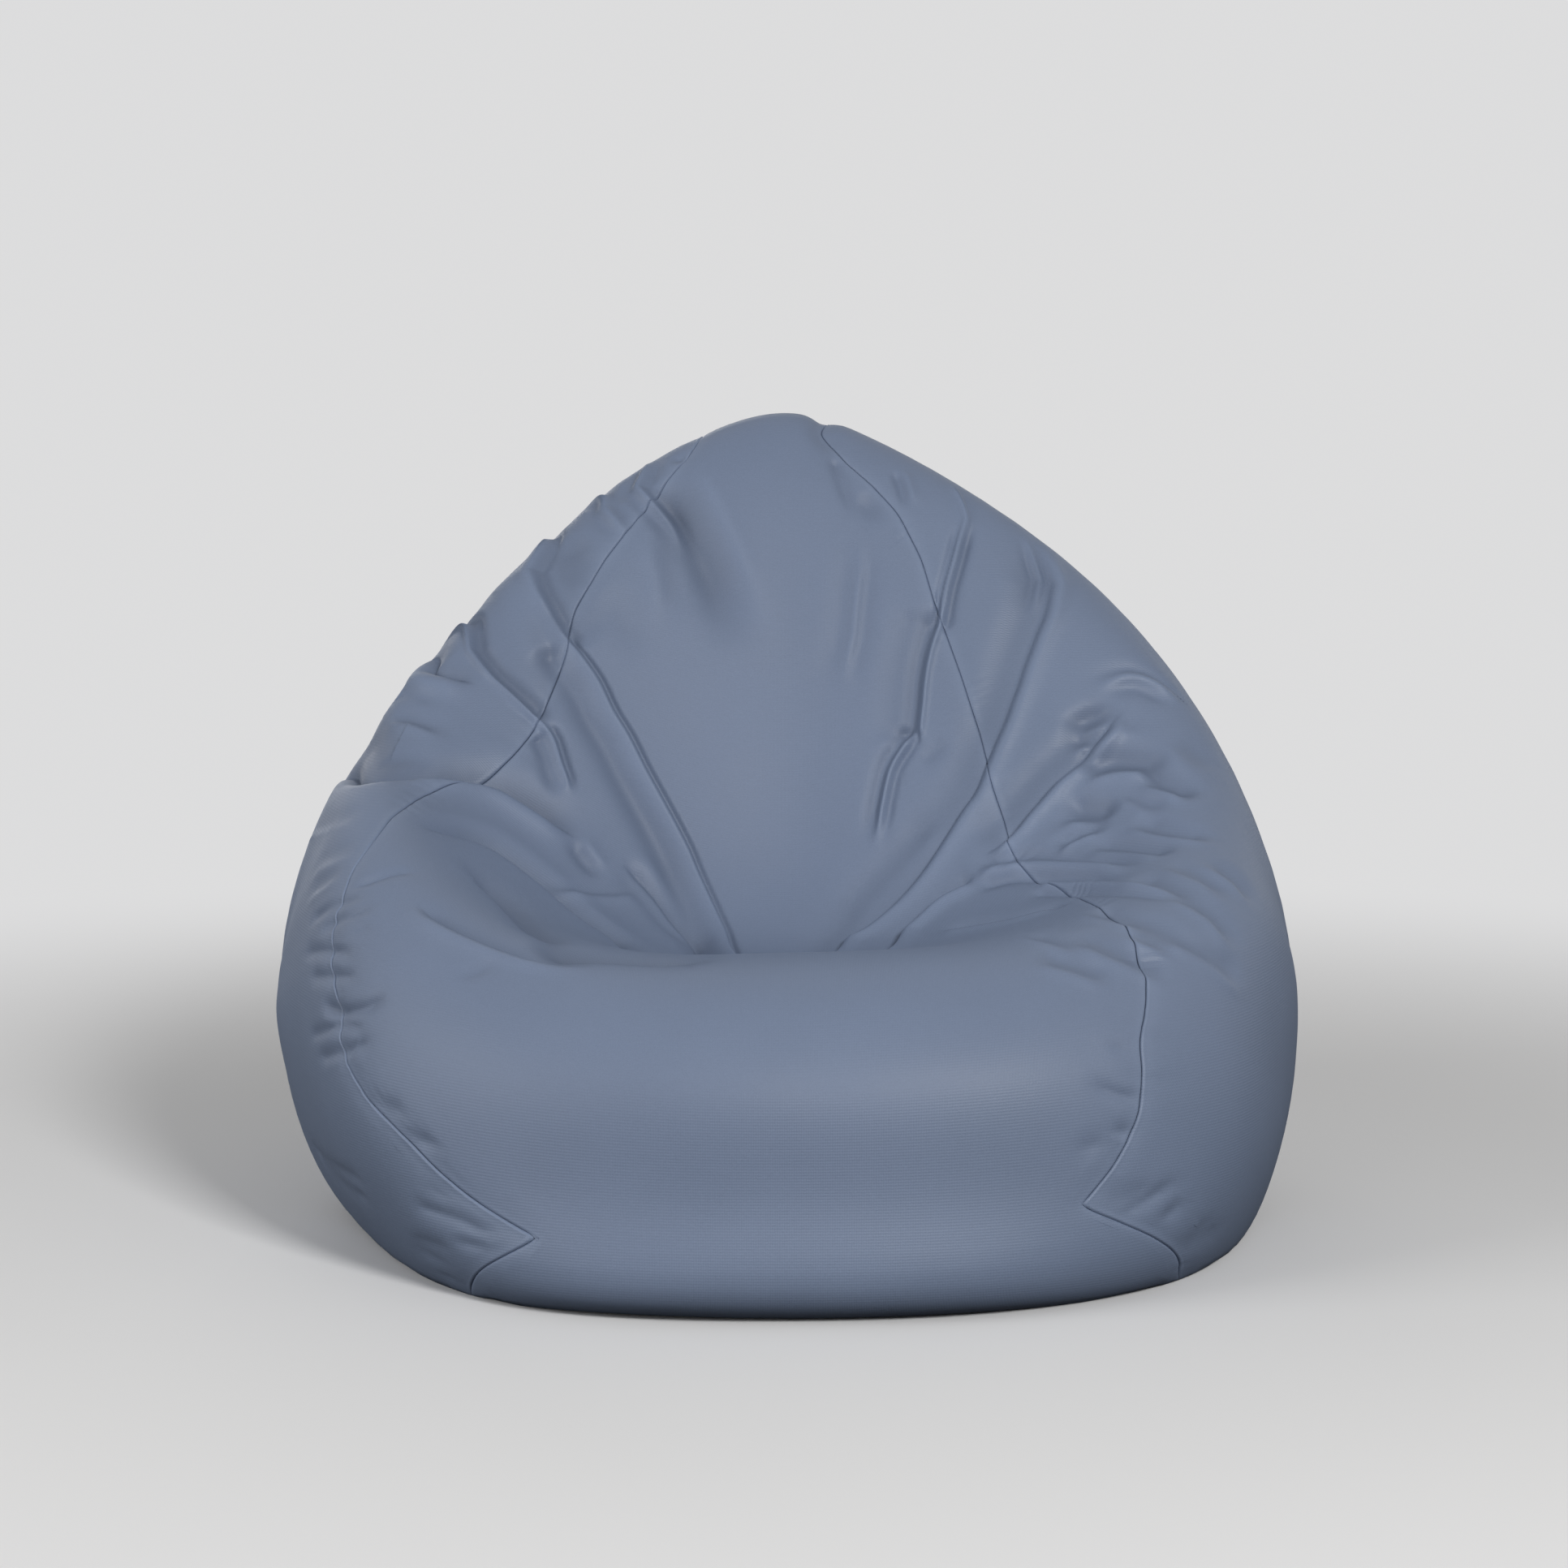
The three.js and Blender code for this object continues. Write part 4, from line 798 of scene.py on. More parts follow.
def shell(name, faces, outer, inner_offset, values=None):
    """A skin from faces given as vertex numbers (-1 for none): the outer side and, where there is an offset,
    the inner side turned over at it along the outer side's own directions, with a rim round open edges. Each
    direction is the sum of the corners' cross products, and the inner side stays above the floor."""
    there = faces >= 0
    sizes = there.sum(1)
    loops = faces[there]
    first = np.concatenate([[0], np.cumsum(sizes)[:-1]])
    following = np.arange(len(loops)) + 1
    following[first + sizes - 1] = first
    a, b = loops, loops[following]
    count = len(outer)
    rim = ~np.isin(a * count + b, b * count + a)
    around = np.stack([b[rim], a[rim], a[rim] + count, b[rim] + count], axis=1)
    face_of = np.repeat(np.arange(len(sizes)), sizes)
    centre = np.stack([np.bincount(face_of, outer[loops, k]) for k in range(3)], 1) / sizes[:, None]
    flat = np.cross(outer[a] - centre[face_of], outer[b] - centre[face_of])
    normal = np.stack([np.bincount(loops, flat[:, k], minlength=count) for k in range(3)], 1)
    inner = outer - unit(normal) * inner_offset
    inner[:, 2] = np.maximum(inner[:, 2], outer[:, 2].min() + inner_offset)
    inner[:, 2] = np.where(outer[:, 2] < MM, outer[:, 2] + inner_offset, inner[:, 2])
    turned = faces[:, ::-1][there[:, ::-1]] + count
    all_points, all_loops, all_sizes = outer, loops, sizes
    if inner_offset > 0:
        all_points = np.concatenate([outer, inner])
        all_loops = np.concatenate([loops, turned, around.ravel()])
        all_sizes = np.concatenate([sizes, sizes, np.full(len(around), 4)])
    mesh = bpy.data.meshes.new(name)
    mesh.vertices.add(len(all_points))
    mesh.vertices.foreach_set("co", all_points.ravel())
    mesh.loops.add(len(all_loops))
    mesh.loops.foreach_set("vertex_index", all_loops)
    mesh.polygons.add(len(all_sizes))
    mesh.polygons.foreach_set("loop_start", np.concatenate([[0], np.cumsum(all_sizes)[:-1]]))
    mesh.polygons.foreach_set("use_smooth", np.ones(len(all_sizes), bool))
    mesh.update(calc_edges=True)
    if values is not None:
        layer = mesh.uv_layers.new(name="weave")
        both = np.concatenate([values[:, :2], values[:, :2]])
        layer.data.foreach_set("uv", both[all_loops].ravel())
        for attribute, column in (("sewn", 2), ("raised", 3)):
            layer = mesh.attributes.new(attribute, "FLOAT", "POINT")
            layer.data.foreach_set("value", np.tile(values[:, column], 2))
    piece = bpy.data.objects.new(name, mesh)
    bpy.context.scene.collection.objects.link(piece)
    return piece


COVER_THICKNESS = 1.2 * MM
RUBBED_WIDTH, RUBBED_REACH = 8 * MM, 0.03
# Lengths along the middle of the strip, at fine places along its rows, and across it from the middle
MEASURED_ROWS, MEASURED_COLUMNS = 800, 160
MIDDLE = MEASURED_COLUMNS // 2
measured_rows = np.linspace(0, NET_ROWS, MEASURED_ROWS + 1)
measured_points = form(*np.meshgrid(
    measured_rows, np.linspace(0, NET_COLUMNS, MEASURED_COLUMNS + 1), indexing="ij"))
length_along = length_so_far(measured_points[:, MIDDLE])
length_across = np.concatenate([np.zeros((MEASURED_ROWS + 1, 1)), np.cumsum(
    np.linalg.norm(np.diff(measured_points, axis=1), axis=2), axis=1)], axis=1)
length_across -= length_across[:, MIDDLE:MIDDLE + 1]


def strip_lengths(row, column):
    """Metres along the strip's middle and across from it, read off between the nearest measured places."""
    at_row = np.mod(row, NET_ROWS) / NET_ROWS * MEASURED_ROWS
    at_column = column / NET_COLUMNS * MEASURED_COLUMNS
    i = np.minimum(at_row.astype(int), MEASURED_ROWS - 1)
    j = np.minimum(at_column.astype(int), MEASURED_COLUMNS - 1)
    f, g = at_row - i, at_column - j
    low = length_across[i, j] * (1 - g) + length_across[i, j + 1] * g
    high = length_across[i + 1, j] * (1 - g) + length_across[i + 1, j + 1] * g
    return np.interp(np.mod(row, NET_ROWS), measured_rows, length_along), low * (1 - f) + high * f


def nearness_to_seams(points):
    """How sewn a place is: the most of the bells of its distance from each seam."""
    sewn = np.zeros(len(points))
    for line, *_ in SEAMS:
        index, _, _, across = measured(line, points, RUBBED_REACH)
        sewn[index] = np.maximum(sewn[index], bell(across, RUBBED_WIDTH))
    return sewn


def cover_panel(name, rows, shares, start, end, wraps=False, pole=None, seams=(), gap=None):
    """A cover panel from its rows and its shares of the way between a start and an end column, each a
    function of the row. It is cut into cells, moved by the relief, and given its thickness. At a pole all
    rows meet in one place, so the faces there lose the corner and the midpoint that repeat it."""
    def place(i, j):
        row = rows[i]
        return row, start(row) + (end(row) - start(row)) * shares[j]
    i, j = np.meshgrid(np.arange(0, len(rows), 2), np.arange(0, len(shares), 2), indexing="ij")
    row, column = place(i, j)
    faces = cut_cells(relief(form(row, column), grooved=False), wraps, seams)
    missing = faces[..., 0] < 0
    if wraps:
        faces[..., 0] = np.where(missing, -1, faces[..., 0] % (len(rows) - 1))
    number = faces[..., 0] * len(shares) + faces[..., 1]
    if pole == "start":
        at_pole = (faces[..., 1] == 0) & ~missing
        number[at_pole] = 0
        number[:, 6:][at_pole[:, 6:]] = -1
    if pole == "end":
        at_pole = (faces[..., 1] == len(shares) - 1) & ~missing
        number[at_pole] = len(shares) - 1
        number[:, 3:5][at_pole[:, 3:5]] = -1
    number[missing] = -1
    used, inverse = np.unique(number, return_inverse=True)
    numbers = inverse.reshape(number.shape)
    if used[0] == -1:
        used, numbers = used[1:], numbers - 1
    i, j = used // len(shares), used % len(shares)
    row, column = place(i, j)
    points = form(row, column)
    lift = relief(points)
    outer = points + outward(row, column) * lift[:, None]
    outer[:, 2] = np.maximum(outer[:, 2], 0)
    if gap is not None:
        outer = gap(outer)
    if pole:
        weave = outer[:, [1, 2]]
    else:
        weave = np.stack(strip_lengths(row, column)[::-1], axis=1)
    # The lift is also kept as the raised attribute, from which the cloth paints shade into folds and a highlight
    # onto ridges
    values = np.column_stack([weave, nearness_to_seams(points), lift])
    return shell(name, numbers, outer, COVER_THICKNESS, values)


def rows_between(low, high, step=0.002, fine=(True, True)):
    """Rows from a low one to a high one, in steps of length along the strip's middle."""
    first, last = np.interp([low, high], measured_rows, length_along)
    return np.interp(first + stations(last - first, step, *fine), length_along, measured_rows)


def strip_shares(width, step):
    """Shares of the way from one sewn edge of the strip to the other."""
    distances = stations(width, step, True, True)
    return distances / distances[-1]


# Satin coated cloth: fine cross ribs, an uneven coat, a little sheen, and rubbed threads along the seams
# Its colour also carries painted shade deep in folds and a painted highlight on ridges, from the relief's height
COVER_COLOUR = (0.162, 0.205, 0.298)


def node_maker(material):
    """A function that adds a node of a kind with given socket values and links to the material."""
    tree = material.node_tree

    def add(kind, inputs=(), **settings):
        node = tree.nodes.new(kind)
        for key, value in settings.items():
            setattr(node, key, value)
        for key, value in dict(inputs).items():
            if isinstance(value, bpy.types.NodeSocket):
                tree.links.new(value, node.inputs[key])
            else:
                node.inputs[key].default_value = value
        return node
    return add


def begun(name):
    """A new material with nothing in it, the function that adds its nodes, and the places on the object."""
    material = bpy.data.materials.new(name)
    material.use_nodes = True
    material.node_tree.nodes.clear()
    add = node_maker(material)
    return material, add, add("ShaderNodeTexCoord").outputs["Object"]


def finished(add, inputs):
    """The material's shader with its inputs, led to the surface."""
    shader = add("ShaderNodeBsdfPrincipled", inputs)
    add("ShaderNodeOutputMaterial", {"Surface": shader.outputs["BSDF"]})


def noise(add, place, scale, detail):
    """Noise from 0 to 1, whose patches measure about one metre over the scale."""
    return add("ShaderNodeTexNoise", {"Vector": place, "Scale": scale, "Detail": detail}).outputs["Fac"]


def tone(colour, share):
    """A colour times a share, held to 1."""
    return *[min(c * share, 1) for c in colour], 1


def mixed(add, share, first, second):
    """A colour that goes from the first to the second with the share."""
    return add("ShaderNodeMixRGB", {"Fac": share, "Color1": first, "Color2": second}).outputs["Color"]


def ranged(add, value, low, high, to_low, to_high):
    """A value moved from between a low and a high one to between two others, and held there."""
    return add("ShaderNodeMapRange", {"Value": value, "From Min": low, "From Max": high, "To Min": to_low,
                                      "To Max": to_high}).outputs["Result"]


def combined(add, operation, first, second):
    """Two values put together by an operation."""
    return add("ShaderNodeMath", {0: first, 1: second}, operation=operation).outputs["Value"]


def scaled(add, colour, share):
    """A colour times a value."""
    return add("ShaderNodeVectorMath", {0: colour, 1: share}, operation="MULTIPLY").outputs["Vector"]


def bumped(add, height, strength, distance, **settings):
    """The surface's directions under a height of 0 to 1 that stands for a distance."""
    return add("ShaderNodeBump", {"Height": height, "Strength": strength, "Distance": distance},
               **settings).outputs["Normal"]


# The scale at which a wave texture has one wave to each unit of its map
WAVE_CYCLE = 2 * math.pi / 20
THREADS_TO_A_RIB = 2.4


def cloth(name, colour, roughness, rib_pitch, rib_height, sheen):
    """Woven cloth: cross ribs and finer threads along the weave map as bump, a mottled colour of two close
    tones in large and small patches, roughness that varies with them, wear as paler rubbed threads at seams,
    and painted shade and highlight: darker deep in folds and a little paler on ridges."""
    material, add, place = begun(name)
    weave = add("ShaderNodeUVMap", uv_map="weave").outputs["UV"]
    sewn = add("ShaderNodeAttribute", attribute_name="sewn").outputs["Fac"]
    raised = add("ShaderNodeAttribute", attribute_name="raised").outputs["Fac"]
    patches, flecks = noise(add, place, 7, 4), noise(add, place, 900, 2)
    mottled = mixed(add, patches, tone(colour, 0.93), tone(colour, 1.07))
    flecked = scaled(add, mottled, ranged(add, flecks, 0.3, 0.7, 0.95, 1.05))
    rubbed = mixed(add, combined(add, "MULTIPLY", sewn, patches), flecked,
                   (*[min(c * 1.18 + 0.01, 1) for c in colour], 1))
    # Painted shade and highlight: the colour darkens with how deep a fold sinks the cloth, down to two thirds,
    # and pales a little on ridges
    rubbed_with_painted_fold_shade = scaled(add, rubbed, ranged(add, raised, -22 * MM, 6 * MM, 0.66, 1.08))
    across = add("ShaderNodeMapping", {"Vector": weave, "Scale": (1, 1 / rib_pitch, 1)})
    ribs = add("ShaderNodeTexWave", {"Vector": across.outputs["Vector"], "Scale": WAVE_CYCLE, "Distortion": 0.4,
                                     "Detail": 1, "Detail Scale": 0.02},
               bands_direction="Y", wave_profile="SIN")
    along = add("ShaderNodeMapping", {"Vector": weave, "Scale": (THREADS_TO_A_RIB / rib_pitch, 1, 1)})
    threads = add("ShaderNodeTexWave", {"Vector": along.outputs["Vector"], "Scale": WAVE_CYCLE},
                  bands_direction="X", wave_profile="SIN")
    grain = combined(add, "ADD", ribs.outputs["Fac"], threads.outputs["Fac"])
    finished(add, {
        "Base Color": rubbed_with_painted_fold_shade, "Roughness": ranged(add, patches, 0.25, 0.75, roughness - 0.05, roughness + 0.06),
        "Normal": bumped(add, combined(add, "ADD", grain, flecks), 0.35, rib_height),
        "Sheen Weight": sheen, "Sheen Roughness": 0.45, "Specular IOR Level": 0.36})
    return material


ALL_EDGES = ("low", "high", "start", "end")
CENTRE_WIDTH = 0.95
cover_cloth = cloth("satin_coated_cloth", COVER_COLOUR, roughness=0.5, rib_pitch=0.0026, rib_height=0.00018,
                    sheen=0.0)
centre = cover_panel(
    "centre_panel_cloth", rows_between(FRONT_EDGE_ROW, TOP_EDGE_ROW), strip_shares(CENTRE_WIDTH, 0.0023),
    left_seam, right_seam, seams=ALL_EDGES)
centre.data.materials.append(cover_cloth)
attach(centre, "bag")
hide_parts("centre_panel")

# Side panels: one piece of the same cloth on each side, cut to a point at the lower front, where its two
# seams meet. Each bulges round its own middle, and is sewn to every other panel.
SIDE_STEP = 0.0025
SIDE_WIDTH = 0.4
SIDE_CELLS_ROUND = 200
side_rows = np.linspace(0, NET_ROWS, CELL * SIDE_CELLS_ROUND + 1)


def pole_shares():
    """Shares of the way from the middle of a side panel to its seam."""
    distances = stations(SIDE_WIDTH, SIDE_STEP, False, True)
    return distances / distances[-1]


left_side = cover_panel(
    "left_side_cloth", side_rows, pole_shares(), lambda row: np.zeros(row.shape), left_seam, wraps=True,
    pole="start", seams=("end",))
right_side = cover_panel(
    "right_side_cloth", side_rows, 1 - pole_shares()[::-1], right_seam,
    lambda row: np.full(row.shape, float(NET_COLUMNS)), wraps=True, pole="end", seams=("start",))
for piece, node, area in ((left_side, "left_side_panel", 0.56), (right_side, "right_side_panel", 0.635)):
    piece.data.materials.append(cover_cloth)
    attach(piece, "bag")
    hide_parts(node)

# Rear panels: two pieces of the same cloth above and below the zipper. Their edges are turned in at it and
# stand eight millimetres apart, so that the coils show between them.
ZIP_OPENING, ZIP_END_ROUNDING = 8 * MM, 8 * MM
ZIP_END_X = 0.2565
ZIP_STRETCH = 0.03
REAR_STEP, REAR_STEP_ACROSS = 0.0025, 0.003
REAR_UPPER_WIDTH, REAR_LOWER_WIDTH = 0.65, 0.7


def opened(side):
    """A move that draws a panel's edge back from the zipper's line by half the opening, full along the coils
    and rounded off at both ends, and taken up over the next thirty millimetres of cloth."""
    def move(points):
        to_end = (ZIP_END_X - np.abs(points[:, 0])) / ZIP_END_ROUNDING
        half = ZIP_OPENING / 2 * np.sqrt(np.clip(to_end, 0, 1))
        away = np.maximum((points[:, 2] - ZIP_HEIGHT) * side, 0)
        share = smooth_step(1 - away / ZIP_STRETCH) * (np.abs(away) < ZIP_STRETCH) * (points[:, 1] > 0)
        moved = points.copy()
        moved[:, 2] += side * half * share
        return moved
    return move


rear_upper = cover_panel(
    "rear_upper_cloth", rows_between(TOP_EDGE_ROW, ZIP_ROW, REAR_STEP),
    strip_shares(REAR_UPPER_WIDTH, REAR_STEP_ACROSS), left_seam, right_seam, seams=ALL_EDGES, gap=opened(1))
rear_lower = cover_panel(
    "rear_lower_cloth", rows_between(ZIP_ROW, REAR_EDGE_ROW, REAR_STEP),
    strip_shares(REAR_LOWER_WIDTH, REAR_STEP_ACROSS), left_seam, right_seam, seams=ALL_EDGES, gap=opened(-1))
for piece, node, flat, area in ((rear_upper, "rear_upper_panel", (0.65, 0.6), 0.29),
                                (rear_lower, "rear_lower_panel", (0.75, 0.2), 0.1)):
    piece.data.materials.append(cover_cloth)
    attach(piece, "bag")
    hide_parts(node)

# Base: one piece of heavier matt cloth that the bag stands on, pressed flat against the floor by the beads
# and sewn in between the centre, rear lower and side panels.
BASE_COLOUR = (0.11, 0.13, 0.18)
BASE_WIDTH, BASE_STEP = 0.72, 0.004
base_rows = np.concatenate([
    rows_between(REAR_EDGE_ROW, NET_ROWS, BASE_STEP, (True, False)),
    NET_ROWS + rows_between(0, FRONT_EDGE_ROW, BASE_STEP, (False, True))[1:]])
base = cover_panel("base_cloth", base_rows, strip_shares(BASE_WIDTH, BASE_STEP), left_seam, right_seam,
                   seams=ALL_EDGES)
base.data.materials.append(cloth("heavy_base_cloth", BASE_COLOUR, roughness=0.68, rib_pitch=0.0032,
                                 rib_height=0.0003, sheen=0.1))
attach(base, "bag")
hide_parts("base_panel")

# Zipper tapes: two woven strips, each sewn behind the edge of one rear panel. They stand on edge round the
# rear and bend one way only, along the cylinder that the rear has there.
TAPE_EDGE, TAPE_WIDTH, TAPE_THICKNESS = 0.7 * MM, 13 * MM, 0.8 * MM
TAPE_FRONT = 1.6 * MM
TAPE_CORNER, CORNER_PLACES = 0.3 * MM, 4
ZIP_END_ANGLE = math.radians(19.63)
ARC_PLACES = 120
tape_angles = np.linspace(-ZIP_END_ANGLE, ZIP_END_ANGLE, ARC_PLACES)


def plain_mesh(name, points, faces):
    """A smooth piece of given points and faces."""
    mesh = bpy.data.meshes.new(name)
    mesh.from_pydata(points, [], faces)
    mesh.polygons.foreach_set("use_smooth", np.ones(len(faces), bool))
    piece = bpy.data.objects.new(name, mesh)
    bpy.context.scene.collection.objects.link(piece)
    return piece


def round_faces(number, turned=False):
    """Faces between each ring of corner numbers and the next one, turned over where the rings run the other
    way round."""
    after = np.roll(number, -1, 1)
    corners = [number[:-1], after[:-1], after[1:], number[1:]]
    if turned:
        corners = corners[:1] + corners[:0:-1]
    return np.stack(corners, -1).reshape(-1, 4)


def tube(name, rings, turned=False):
    """A piece of rings of points, each joined to the next, with both ends closed."""
    number = np.arange(rings.shape[0] * rings.shape[1]).reshape(rings.shape[:2])
    ends = [number[0][::-1].tolist(), number[-1].tolist()]
    if turned:
        ends = [end[::-1] for end in ends]
    return plain_mesh(name, rings.reshape(-1, 3), round_faces(number, turned).tolist() + ends)


def round_zip(angle, out, up):
    """Places at an angle round the zipper's axis, outwards from the zipper's radius and upwards from its line."""
    radius = ZIP_RADIUS + out
    return np.stack(np.broadcast_arrays(
        radius * np.sin(angle), ZIP_AXIS_Y + radius * np.cos(angle), ZIP_HEIGHT + up), axis=-1)


def carried(name, section):
    """A closed section of (outwards, upwards) places carried along the tapes' arc."""
    return tube(name, round_zip(tape_angles[:, None], section[None, :, 0], section[None, :, 1]))


def rounded_section(back, front, low, high, corner=TAPE_CORNER):
    """A rectangle with round corners as (outwards, upwards) places, in the way that turns faces outwards."""
    turns = np.linspace(0, math.pi / 2, CORNER_PLACES)
    places = []
    for out, up, first in ((front, low, -1), (front, high, 0), (back, high, 1), (back, low, 2)):
        angle = turns + first * math.pi / 2
        inward = (out - corner * np.sign(out - (back + front) / 2), up - corner * np.sign(up - (low + high) / 2))
        places.append(np.stack([inward[0] + corner * np.cos(angle), inward[1] + corner * np.sin(angle)], axis=1))
    return np.concatenate(places)


TAPE_COLOUR = (0.115, 0.145, 0.22)
TAPE_PITCH = 0.0012
TAPE_ROWS, TAPE_CROSS = 1 / TAPE_PITCH / 20, 1 / TAPE_PITCH / 12
# Woven tape: a herringbone of two crossed fine waves along its length as bump and as a faint change of tone,
# over a matt colour that is uneven in small patches
tape_cloth, add, place = begun("zipper_tape_weave")
rows = add("ShaderNodeTexWave", {"Vector": place, "Scale": TAPE_ROWS, "Distortion": 0.6, "Detail": 1},
           bands_direction="DIAGONAL", wave_profile="SIN")
cross = add("ShaderNodeTexWave", {"Vector": place, "Scale": TAPE_CROSS, "Distortion": 0.4},
            bands_direction="Z", wave_profile="TRI")
herringbone = combined(add, "MULTIPLY", rows.outputs["Fac"], cross.outputs["Fac"])
uneven = combined(add, "MULTIPLY", herringbone, noise(add, place, 260, 3))
finished(add, {"Base Color": mixed(add, uneven, tone(TAPE_COLOUR, 0.85), tone(TAPE_COLOUR, 1.35)),
               "Roughness": 0.82, "Normal": bumped(add, herringbone, 0.5, 0.0002), "Specular IOR Level": 0.25})
for side, node in ((1, "zipper_tape_upper"), (-1, "zipper_tape_lower")):
    low, high = sorted((side * TAPE_EDGE, side * (TAPE_EDGE + TAPE_WIDTH)))
    tape = carried(node + "_woven", rounded_section(-TAPE_FRONT - TAPE_THICKNESS, -TAPE_FRONT, low, high))
    tape.data.materials.append(tape_cloth)
    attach(tape, "bag")
    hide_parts(node)

# Coils: a nylon thread wound in flat turns along the edge of each tape. The turns of one coil stand in the
# gaps of the other, and a slider parts or joins them.
COIL_PITCH = 1.5 * MM
COIL_WIRE = 0.3 * MM
COIL_MIDDLE, COIL_HALF_DEPTH = -0.5 * MM, 0.7 * MM
COIL_NEAR, COIL_FAR = 0.75 * MM, 2.7 * MM
COIL_END_ANGLE = math.radians(19.02)
COIL_TURN_STEPS, COIL_ROUND_STEPS = 12, 6


def wound(name, side):
    """A wire wound round a flat core: its centre goes round an oval as it moves along the arc, and the wire's
    own circle is drawn round that centre in the plane of the oval's outward direction and the arc's way."""
    turns = int(2 * COIL_END_ANGLE * ZIP_RADIUS / COIL_PITCH) - 1
    turn = np.linspace(0, 2 * math.pi * turns, turns * COIL_TURN_STEPS + 1)[:, None]
    circle = np.linspace(0, 2 * math.pi, COIL_ROUND_STEPS, endpoint=False)[None]
    middle, half = (COIL_FAR + COIL_NEAR) / 2, (COIL_FAR - COIL_NEAR) / 2
    out = COIL_MIDDLE + (COIL_HALF_DEPTH + COIL_WIRE * np.cos(circle)) * np.cos(turn)
    up = side * (middle + (half + COIL_WIRE * np.cos(circle)) * np.sin(turn))
    shift = COIL_PITCH / 2 if side < 0 else 0
    along = (turn / (2 * math.pi) - turns / 2) * COIL_PITCH + shift + COIL_WIRE * np.sin(circle) * side
    return tube(name, round_zip(along / ZIP_RADIUS, out, up), turned=True)


COIL_COLOUR = (0.085, 0.11, 0.17)
# Nylon: dyed a little unevenly, and finely scuffed
coil_nylon, add, place = begun("coil_nylon")
finished(add, {
    "Base Color": mixed(add, noise(add, place, 90, 3), tone(COIL_COLOUR, 0.85), tone(COIL_COLOUR, 1.25)),
    "Roughness": 0.38, "Normal": bumped(add, noise(add, place, 2500, 2), 0.15, 0.0001)})
for side, node in ((1, "zipper_coil_upper"), (-1, "zipper_coil_lower")):
    coil = wound(node + "_wound", side)
    coil.data.materials.append(coil_nylon)
    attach(coil, "bag")
    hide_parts(node)

# Slider, stops and pull: die-cast metal, plated, with rounded edges. The stops are clamped over both coils'
# ends, and the pull hangs in the bridge of the slider.
STOP_HALF, STOP_SUNK = (2 * MM, 0.85 * MM, 2.7 * MM), 0.35 * MM
STOP_ANGLE = COIL_END_ANGLE + 2.4 * MM / ZIP_RADIUS
SLIDER_ANGLE = math.radians(-18.519)


def on_zipper(points, angle):
    """Points given as along the coils, outwards from the zipper's radius and upwards, set at an angle."""
    along, out, up = points[..., 0], points[..., 1], points[..., 2]
    radius = ZIP_RADIUS + out
    return np.stack([radius * math.sin(angle) + along * math.cos(angle),
                     ZIP_AXIS_Y + radius * math.cos(angle) - along * math.sin(angle), ZIP_HEIGHT + up], axis=-1)


def cushioned(middle, half, squareness=0.3, steps=(20, 12), shape=None):
    """A block with well rounded edges: on the ball of two angles, each sine and cosine keeps its sign and is
    raised to a low power, and the three are times the block's half sizes. Returns points and faces."""
    count, rings = steps
    theta = np.linspace(-math.pi / 2, math.pi / 2, rings + 1)[:, None]
    phi = np.linspace(0, 2 * math.pi, count, endpoint=False)[None]

    def soft(value):
        return np.sign(value) * np.abs(value) ** squareness
    level = soft(np.cos(theta))
    unit_points = np.stack(np.broadcast_arrays(
        level * soft(np.cos(phi)), soft(np.sin(theta)), -level * soft(np.sin(phi))), -1)
    if shape is not None:
        unit_points = shape(unit_points)
    points = np.array(middle) + unit_points * np.array(half)
    number = np.arange((rings + 1) * count).reshape(rings + 1, count)
    number[0], number[-1] = 0, rings * count
    return points.reshape(-1, 3), round_faces(number)


def without_repeats(faces):
    """Faces as lists, with the corners left out that repeat the one before them, as at a pole."""
    return [[v for k, v in enumerate(face) if v != face[k - 1]] for face in faces.tolist()]


def merged(name, parts, angle):
    """One piece of several closed forms, set at an angle on the zipper, without the points that none uses."""
    points, faces, start = [], [], 0
    for part_points, part_faces in parts:
        points.append(part_points)
        faces.append(part_faces + start)
        start += len(part_points)
    faces = without_repeats(np.concatenate(faces))
    used = sorted({v for face in faces for v in face})
    renumbered = {v: k for k, v in enumerate(used)}
    faces = [[renumbered[v] for v in face] for face in faces]
    return plain_mesh(name, on_zipper(np.concatenate(points)[used], angle), faces)


METAL_COLOUR = (0.42, 0.43, 0.45)
# Plated metal: cloudy where it is worn, and finely scratched
plated_metal, add, place = begun("plated_zipper_metal")
clouds = noise(add, place, 240, 4)
finished(add, {
    "Base Color": mixed(add, clouds, tone(METAL_COLOUR, 0.8), tone(METAL_COLOUR, 1.2)), "Metallic": 1.0,
    "Roughness": ranged(add, clouds, 0.3, 0.7, 0.26, 0.42),
    "Normal": bumped(add, noise(add, place, 1800, 2), 0.12, 0.0001)})


def waisted(points):
    """The stop's form: drawn in a little along its middle line, where it is pressed between the coils."""
    points = points.copy()
    points[..., 1] *= 1 - 0.25 * bell(points[..., 2], 0.35)
    return points


def nosed(points):
    """The slider's plate seen from the front: wide where the coils part, and narrower behind."""
    points = points.copy()
    points[..., 2] *= 0.86 + 0.14 * smooth_step(points[..., 0] * 0.8 + 0.5)
    points[..., 1] -= 0.35 * np.abs(points[..., 2]) ** 3
    return points


for side, node in ((-1, "zipper_stop_left"), (1, "zipper_stop_right")):
    stop = merged(node + "_clamp", [cushioned((0, -STOP_SUNK, 0), STOP_HALF, 0.35, (24, 16), waisted)],
                  side * STOP_ANGLE)
    stop.data.materials.append(plated_metal)
    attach(stop, "bag")
    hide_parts(node)


